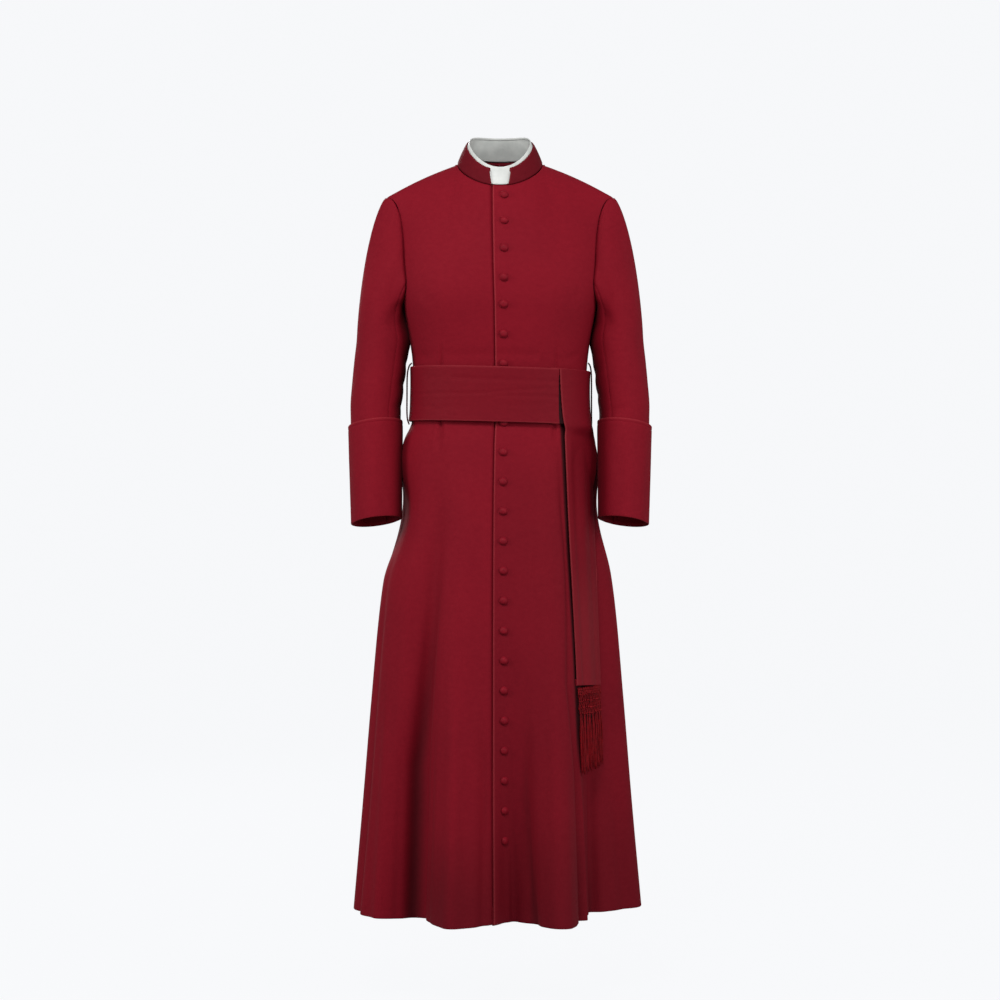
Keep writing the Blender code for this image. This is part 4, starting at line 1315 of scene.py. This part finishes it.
def on_chart(chart, share, z, out):
    """Point at a share of the width, a height and a distance out, read between chart points."""
    rows, columns = chart.shape[:2]
    across = np.clip(share, 0.0, 1.0) * (columns - 1)
    up = (z - FRINGE_END) / (FRINGE_TOP - FRINGE_END) * (rows - 1)
    j = np.clip(across.astype(int), 0, columns - 2)
    i = np.clip(up.astype(int), 0, rows - 2)
    right = (across - j)[..., None]
    above = (up - i)[..., None]
    low = chart[i, j] * (1.0 - right) + chart[i, j + 1] * right
    high = chart[i + 1, j] * (1.0 - right) + chart[i + 1, j + 1] * right
    found = low * (1.0 - above) + high * above
    return found[..., :3] + found[..., 3:] * out[..., None]


def fringe_piece(material):
    """Knotted net below the fall, with loose strands of uneven length from its last row."""
    rng = np.random.default_rng(7)
    parts = []
    chart = fringe_chart()

    def place(share, z, out):
        return on_chart(chart, *together(share, z, out))

    def share_of(row, index):
        offset = 0.5 if row % 2 else 0.0
        return 0.025 + 0.95 * (index + offset) / NET_KNOTS

    knots = []
    for row, z in enumerate(NET_ROWS):
        count = NET_KNOTS + (0 if row % 2 else 1)
        line = []
        for index in range(count):
            share = share_of(row, index) + rng.uniform(-0.004, 0.004)
            line.append((share, z + rng.uniform(-0.0012, 0.0012), rng.uniform(-0.0012, -0.0002)))
        knots.append(line)
        for share, high, out in line:
            parts.append(knot(place(share, high, out), KNOT_RADIUS, rng))
    # Cords from the hem to the first row, then from each row to the next.
    top = [(share, NET_TOP, -0.0010) for share, _z, _out in knots[0]]
    for first, second in zip([top] + knots[:-1], knots):
        for start in second:
            for near in first:
                if abs(near[0] - start[0]) > (TOP_REACH if first is top else NET_REACH) / NET_KNOTS:
                    continue
                t = np.linspace(0.0, 1.0, 5)
                bow = 0.0010 * np.sin(pi * t)
                path = place(blend(near[0], start[0], t), blend(near[1], start[1], t),
                             blend(near[2], start[2], t) - 0.4 * bow)
                parts.append(tube(path, NET_CORD, sides=5))
    for share, z, _out in knots[-1]:
        for _index in range(STRANDS_PER_KNOT):
            end_share = np.clip(share + rng.normal(0.0, 0.024), 0.0, 1.0)
            bottom = blend(STRAND_END_FRONT, STRAND_END_BACK, end_share) + rng.uniform(-0.003, 0.008)
            t = np.linspace(0.0, 1.0, 15)
            sway = rng.uniform(-0.020, 0.020) * np.sin(pi * t) + 0.008 * np.sin(
                rng.uniform(3.0, 7.0) * t + rng.uniform(0.0, 6.0)) * t
            out = rng.uniform(-0.0030, 0.0006)
            path = place(np.clip(blend(share, end_share, t) + sway, 0.0, 1.0), blend(z, bottom, t),
                         -0.0008 + (out + 0.0008) * ease(t * 3.0)
                         + 0.0006 * np.sin(5.0 * t + share * 40.0))
            thin = STRAND_RADIUS * (1.0 - 0.45 * t ** 4)
            parts.append(tube(path, thin, sides=5))
    vertices, faces = joined(parts)
    return solid_object("cincture_fringe", "strands", vertices, faces, material)


LOOP_PATHS = {
    1.0: [(0.1633, -0.366), (0.1668, -0.371), (0.1692, -0.386), (0.1696, -0.430),
          (0.1696, -0.462), (0.1698, -0.476), (0.1692, -0.4865)],
    -1.0: [(0.1633, -0.366), (0.1680, -0.371), (0.1716, -0.386), (0.1724, -0.430),
           (0.1724, -0.460), (0.1712, -0.472), (0.1682, -0.480)],
}


def belt_loop_piece(side, material):
    """Twisted cord from just above the band, over it, to just below it."""
    points = np.array(LOOP_PATHS[side])
    steps = way_along(points)
    table = [(way, x, z) for way, (x, z) in zip(steps, points)]
    x, z = table_values(table, np.linspace(0.0, steps[-1], 60))
    path = np.stack((x * side, np.full(x.shape, LOOP_BACK), z), axis=-1)
    vertices, faces = tube(path, LOOP_CORD, sides=12, twist=1400.0 * side, groove=0.12)
    solid_object("belt_loop_" + LABELS[side], "cord", vertices, faces, material)


# ---------------------------------------------------------------- materials
class Nodes:
    """Short helper for node trees."""

    def __init__(self, name):
        self.material = bpy.data.materials.new(name)
        self.material.use_nodes = True
        self.tree = self.material.node_tree
        self.shader = self.tree.nodes["Principled BSDF"]

    def add(self, kind, settings=None, inputs=None):
        node = self.tree.nodes.new(kind)
        for key, value in (settings or {}).items():
            setattr(node, key, value)
        for key, value in (inputs or {}).items():
            self.feed(node.inputs[key], value)
        return node

    def feed(self, socket, value):
        if isinstance(value, bpy.types.NodeSocket):
            self.tree.links.new(value, socket)
        else:
            socket.default_value = value

    def math(self, operation, a, b=0.0, clamp=False):
        node = self.add("ShaderNodeMath", {"operation": operation, "use_clamp": clamp})
        self.feed(node.inputs[0], a)
        self.feed(node.inputs[1], b)
        return node.outputs[0]

    def mix(self, factor, a, b):
        node = self.add("ShaderNodeMix", {"data_type": "RGBA", "blend_type": "MIX"})
        self.feed(node.inputs["Factor"], factor)
        self.feed(node.inputs[6], a)
        self.feed(node.inputs[7], b)
        return node.outputs[2]

    def total(self, parts, clamp=False):
        """Sum of values, each times its weight."""
        found = 0.0
        for value, weight in parts:
            found = self.math("ADD", self.math("MULTIPLY", value, weight), found, clamp)
        return found

    def noise(self, vector, scale, detail=2.0, rough=0.5):
        node = self.add("ShaderNodeTexNoise", {}, {"Vector": vector, "Scale": scale,
                                                   "Detail": detail, "Roughness": rough})
        return node.outputs["Fac"]

    def stretch(self, vector, scale):
        return self.add("ShaderNodeMapping", {}, {"Vector": vector, "Scale": scale}).outputs["Vector"]

    def bump(self, strength, distance, height, **more):
        inputs = {"Strength": strength, "Distance": distance, "Height": height, **more}
        return self.add("ShaderNodeBump", {}, inputs).outputs["Normal"]

    def look(self, base, rough, normal=None, **more):
        """Colour, roughness and relief of the surface, then other inputs by their name."""
        inputs = {"Base Color": base, "Roughness": rough, "Normal": normal}
        inputs.update({key.replace("_", " "): value for key, value in more.items()})
        for key, value in inputs.items():
            if value is not None:
                self.feed(self.shader.inputs[key], value)
        return self.material

    def place(self):
        return self.add("ShaderNodeTexCoord").outputs["Object"]

    def weave(self):
        return self.add("ShaderNodeUVMap", {"uv_map": "weave"}).outputs["UV"]

    def painted(self, name):
        return self.add("ShaderNodeAttribute", {"attribute_name": name}).outputs["Fac"]

    def band(self, value, low=0.30, high=0.70):
        node = self.add("ShaderNodeMapRange", {}, {"Value": value, "From Min": low, "From Max": high})
        return node.outputs["Result"]


def colour(red, green, blue):
    """Linear colour from display values of 0 to 255."""
    values = []
    for level in (red, green, blue):
        share = level / 255.0
        values.append(share / 12.92 if share <= 0.04045 else ((share + 0.055) / 1.055) ** 2.4)
    return (*values, 1.0)


SHEEN_TINT = (1.0, 0.25, 0.28, 1.0)
# Colour of the painted shade in folds and sheltered places.
PAINTED_SHADE_RED = colour(26, 0, 3)


def cloth_material(name, deep, main, pale, rough, sheen, twill=1500.0, bump=0.35):
    """Fine twill suiting: slanted ribs, slubbed yarns, soft patches of tone, a painted highlight that
    makes pressed edges paler, and painted shade.
    """
    nodes = Nodes(name)
    uv = nodes.weave()
    place = nodes.place()
    ribs = nodes.add("ShaderNodeTexWave", {"wave_type": "BANDS", "bands_direction": "DIAGONAL"},
                     {"Vector": uv, "Scale": twill / 2.0, "Distortion": 0.8, "Detail": 1.0,
                      "Detail Scale": 2.0}).outputs["Fac"]
    weft = nodes.noise(nodes.stretch(uv, (130.0, 2400.0, 1.0)), 1.0)
    warp = nodes.noise(nodes.stretch(uv, (2400.0, 110.0, 1.0)), 1.0)
    fibre = nodes.noise(place, 900.0, 2.0, 0.6)
    patch = nodes.noise(place, 7.0, 3.0)
    mottle = nodes.noise(nodes.stretch(place, (90.0, 90.0, 160.0)), 1.0, 2.0, 0.6)

    tone = nodes.total([(nodes.band(weft), 0.30), (nodes.band(warp), 0.20), (nodes.band(patch), 0.22),
                        (nodes.band(mottle), 0.14), (ribs, 0.14)], clamp=True)
    # Painted highlight where the mesh marks it, broken up by the fibres.
    painted_highlight = nodes.math("MULTIPLY", nodes.painted("edge"), nodes.band(fibre, 0.10, 0.75), clamp=True)
    shown = nodes.mix(painted_highlight, nodes.mix(tone, deep, main), pale)
    shine = nodes.math("MULTIPLY", nodes.band(mottle, 0.25, 0.75), -0.08)
    height = nodes.total([(ribs, 0.55), (fibre, 0.35), (weft, 0.40)])
    grain = nodes.bump(bump, 0.00022, height)
    soft = nodes.bump(0.22, 0.0016, nodes.noise(place, 26.0), Normal=grain)
    # Painted shade draws the colour toward a dark red where the mesh marks shade.
    return nodes.look(nodes.mix(nodes.painted("shade"), shown, PAINTED_SHADE_RED),
                      nodes.math("ADD", shine, rough), soft, Specular_IOR_Level=0.13,
                      Sheen_Weight=sheen, Sheen_Roughness=0.45, Sheen_Tint=SHEEN_TINT)


def yarn_material(name, deep, main, rough, sheen, fine=1600.0):
    """Twisted yarn or small covered piece: fine streaks of tone over a soft relief."""
    nodes = Nodes(name)
    place = nodes.place()
    streak = nodes.noise(nodes.stretch(place, (1.0, 1.0, 0.22)), fine, 2.0, 0.6)
    patch = nodes.noise(place, 120.0)
    tone = nodes.total([(nodes.band(streak), 0.6), (nodes.band(patch), 0.4)], clamp=True)
    shine = nodes.math("MULTIPLY", patch, -0.10)
    return nodes.look(nodes.mix(tone, deep, main), nodes.math("ADD", shine, rough),
                      nodes.bump(0.35, 0.0003, streak), Specular_IOR_Level=0.14,
                      Sheen_Weight=sheen, Sheen_Roughness=0.40, Sheen_Tint=SHEEN_TINT)


def insert_material():
    """Smooth white stiffened cotton, very slightly mottled and softly glossy."""
    nodes = Nodes("insert_white")
    patch = nodes.noise(nodes.place(), 60.0, 3.0)
    thread = nodes.noise(nodes.stretch(nodes.weave(), (2600.0, 2600.0, 1.0)), 1.0)
    return nodes.look(nodes.mix(nodes.band(patch), colour(203, 206, 202), colour(220, 222, 218)),
                      nodes.math("ADD", nodes.math("MULTIPLY", patch, 0.12), 0.42),
                      nodes.bump(0.12, 0.0001, thread))


def pale_material(name, shade, glow):
    """Plain pale studio paper."""
    nodes = Nodes(name)
    grain = nodes.math("MULTIPLY", nodes.noise(nodes.place(), 30.0), 0.05)
    base = nodes.mix(grain, (0.02, 0.02, 0.02, 1.0), (0.05, 0.05, 0.05, 1.0))
    return nodes.look(base, 1.0, Specular_IOR_Level=0.0, Emission_Color=shade, Emission_Strength=glow)


# The third colour of each cloth is its painted highlight.
WOOL = cloth_material("wool_twill", colour(112, 6, 25), colour(142, 14, 33), colour(176, 64, 70),
                      0.80, 0.03)
SASH = cloth_material("cincture_faille", colour(104, 4, 22), colour(131, 9, 28), colour(160, 56, 62),
                      0.70, 0.03, twill=1900.0, bump=0.30)
BUTTON_WOOL = yarn_material("button_wool", colour(110, 6, 24), colour(142, 14, 33), 0.66, 0.04,
                            fine=900.0)
FRINGE_YARN = yarn_material("fringe_yarn", colour(84, 0, 8), colour(150, 9, 22), 0.60, 0.04)
LOOP_YARN = yarn_material("loop_cord", colour(60, 4, 12), colour(96, 12, 24), 0.60, 0.05)
INSERT = insert_material()

# ---------------------------------------------------------------- garment
front_left(WOOL)
front_right(WOOL)
for way in LABELS:
    back_panel(way, WOOL)
for way in LABELS:
    sleeve_piece("top", HIND_SEAM - 360.0, FRONT_SEAM, 66, way, WOOL)
    sleeve_piece("under", FRONT_SEAM, HIND_SEAM, 38, way, WOOL)
    cuff_piece(way, WOOL)
    belt_loop_piece(way, LOOP_YARN)
collar_piece(WOOL)
insert_piece(INSERT)
for number in range(BUTTON_COUNT):
    button_piece(number, BUTTON_WOOL)
band_piece(SASH)
fringe = fringe_piece(FRINGE_YARN)
fall_piece(SASH, fringe)

# ---------------------------------------------------------------- camera, floor and light
FLOOR = -1.53             # the wearer's floor; the hem hangs clear of it
STUDIO = 9.0              # half width of the floor, and height and distance of the wall
SWEEP = 1.6               # radius of the bend between them
camera_data = bpy.data.cameras.new("camera")
camera_data.sensor_width = 36.0
camera_data.lens = 85.6
camera = bpy.data.objects.new("camera", camera_data)
camera.location = (0.0, -4.4, -0.62)
camera.rotation_euler = (radians(90.0), 0.0, 0.0)
bpy.context.scene.collection.objects.link(camera)
bpy.context.scene.camera = camera
bpy.context.scene.view_settings.view_transform = "Standard"

PAPER = pale_material("studio_paper", colour(246, 247, 249), 1.0)


def backdrop(material):
    """Floor that sweeps up into a wall behind the garment."""
    profile = [(-STUDIO, 0.0), (STUDIO - SWEEP, 0.0)]
    for step in range(1, 9):
        turn = radians(90.0 * step / 8)
        profile.append((STUDIO - SWEEP + SWEEP * sin(turn), SWEEP * (1.0 - cos(turn))))
    profile.append((STUDIO, STUDIO))
    vertices = [(x, y, FLOOR + z) for y, z in profile for x in (-STUDIO, STUDIO)]
    faces = [(2 * i, 2 * i + 1, 2 * i + 3, 2 * i + 2) for i in range(len(profile) - 1)]
    obj = mesh_object("studio_floor", vertices, faces, material)
    obj.visible_diffuse = False
    obj.visible_glossy = False


def area_light(name, place, target, size, power):
    data = bpy.data.lights.new(name, "AREA")
    data.shape = "RECTANGLE"
    data.size, data.size_y = size
    data.energy = power
    obj = bpy.data.objects.new(name, data)
    obj.location = place
    direction = Vector(target) - Vector(place)
    obj.rotation_euler = direction.to_track_quat("-Z", "Y").to_euler()
    bpy.context.scene.collection.objects.link(obj)


backdrop(PAPER)
world = bpy.data.worlds.new("studio")
world.use_nodes = True
sky = world.node_tree.nodes["Background"].inputs
sky["Color"].default_value = (0.93, 0.94, 0.955, 1.0)
sky["Strength"].default_value = 0.26
bpy.context.scene.world = world
area_light("key", (-0.50, -2.4, 1.6), (0.0, 0.0, -0.30), (0.9, 0.9), 49.5)
area_light("fill", (2.3, -2.1, -0.1), (0.0, 0.0, -0.6), (1.0, 1.4), 27.0)
area_light("left side", (-2.4, -1.2, 0.2), (0.0, 0.0, -0.5), (0.8, 1.2), 24.0)
area_light("right side", (2.4, -1.0, 0.2), (0.0, 0.0, -0.5), (0.8, 1.2), 8.0)
area_light("behind", (-1.0, 3.2, 1.0), (0.0, 0.0, -0.5), (1.2, 1.2), 60.0)
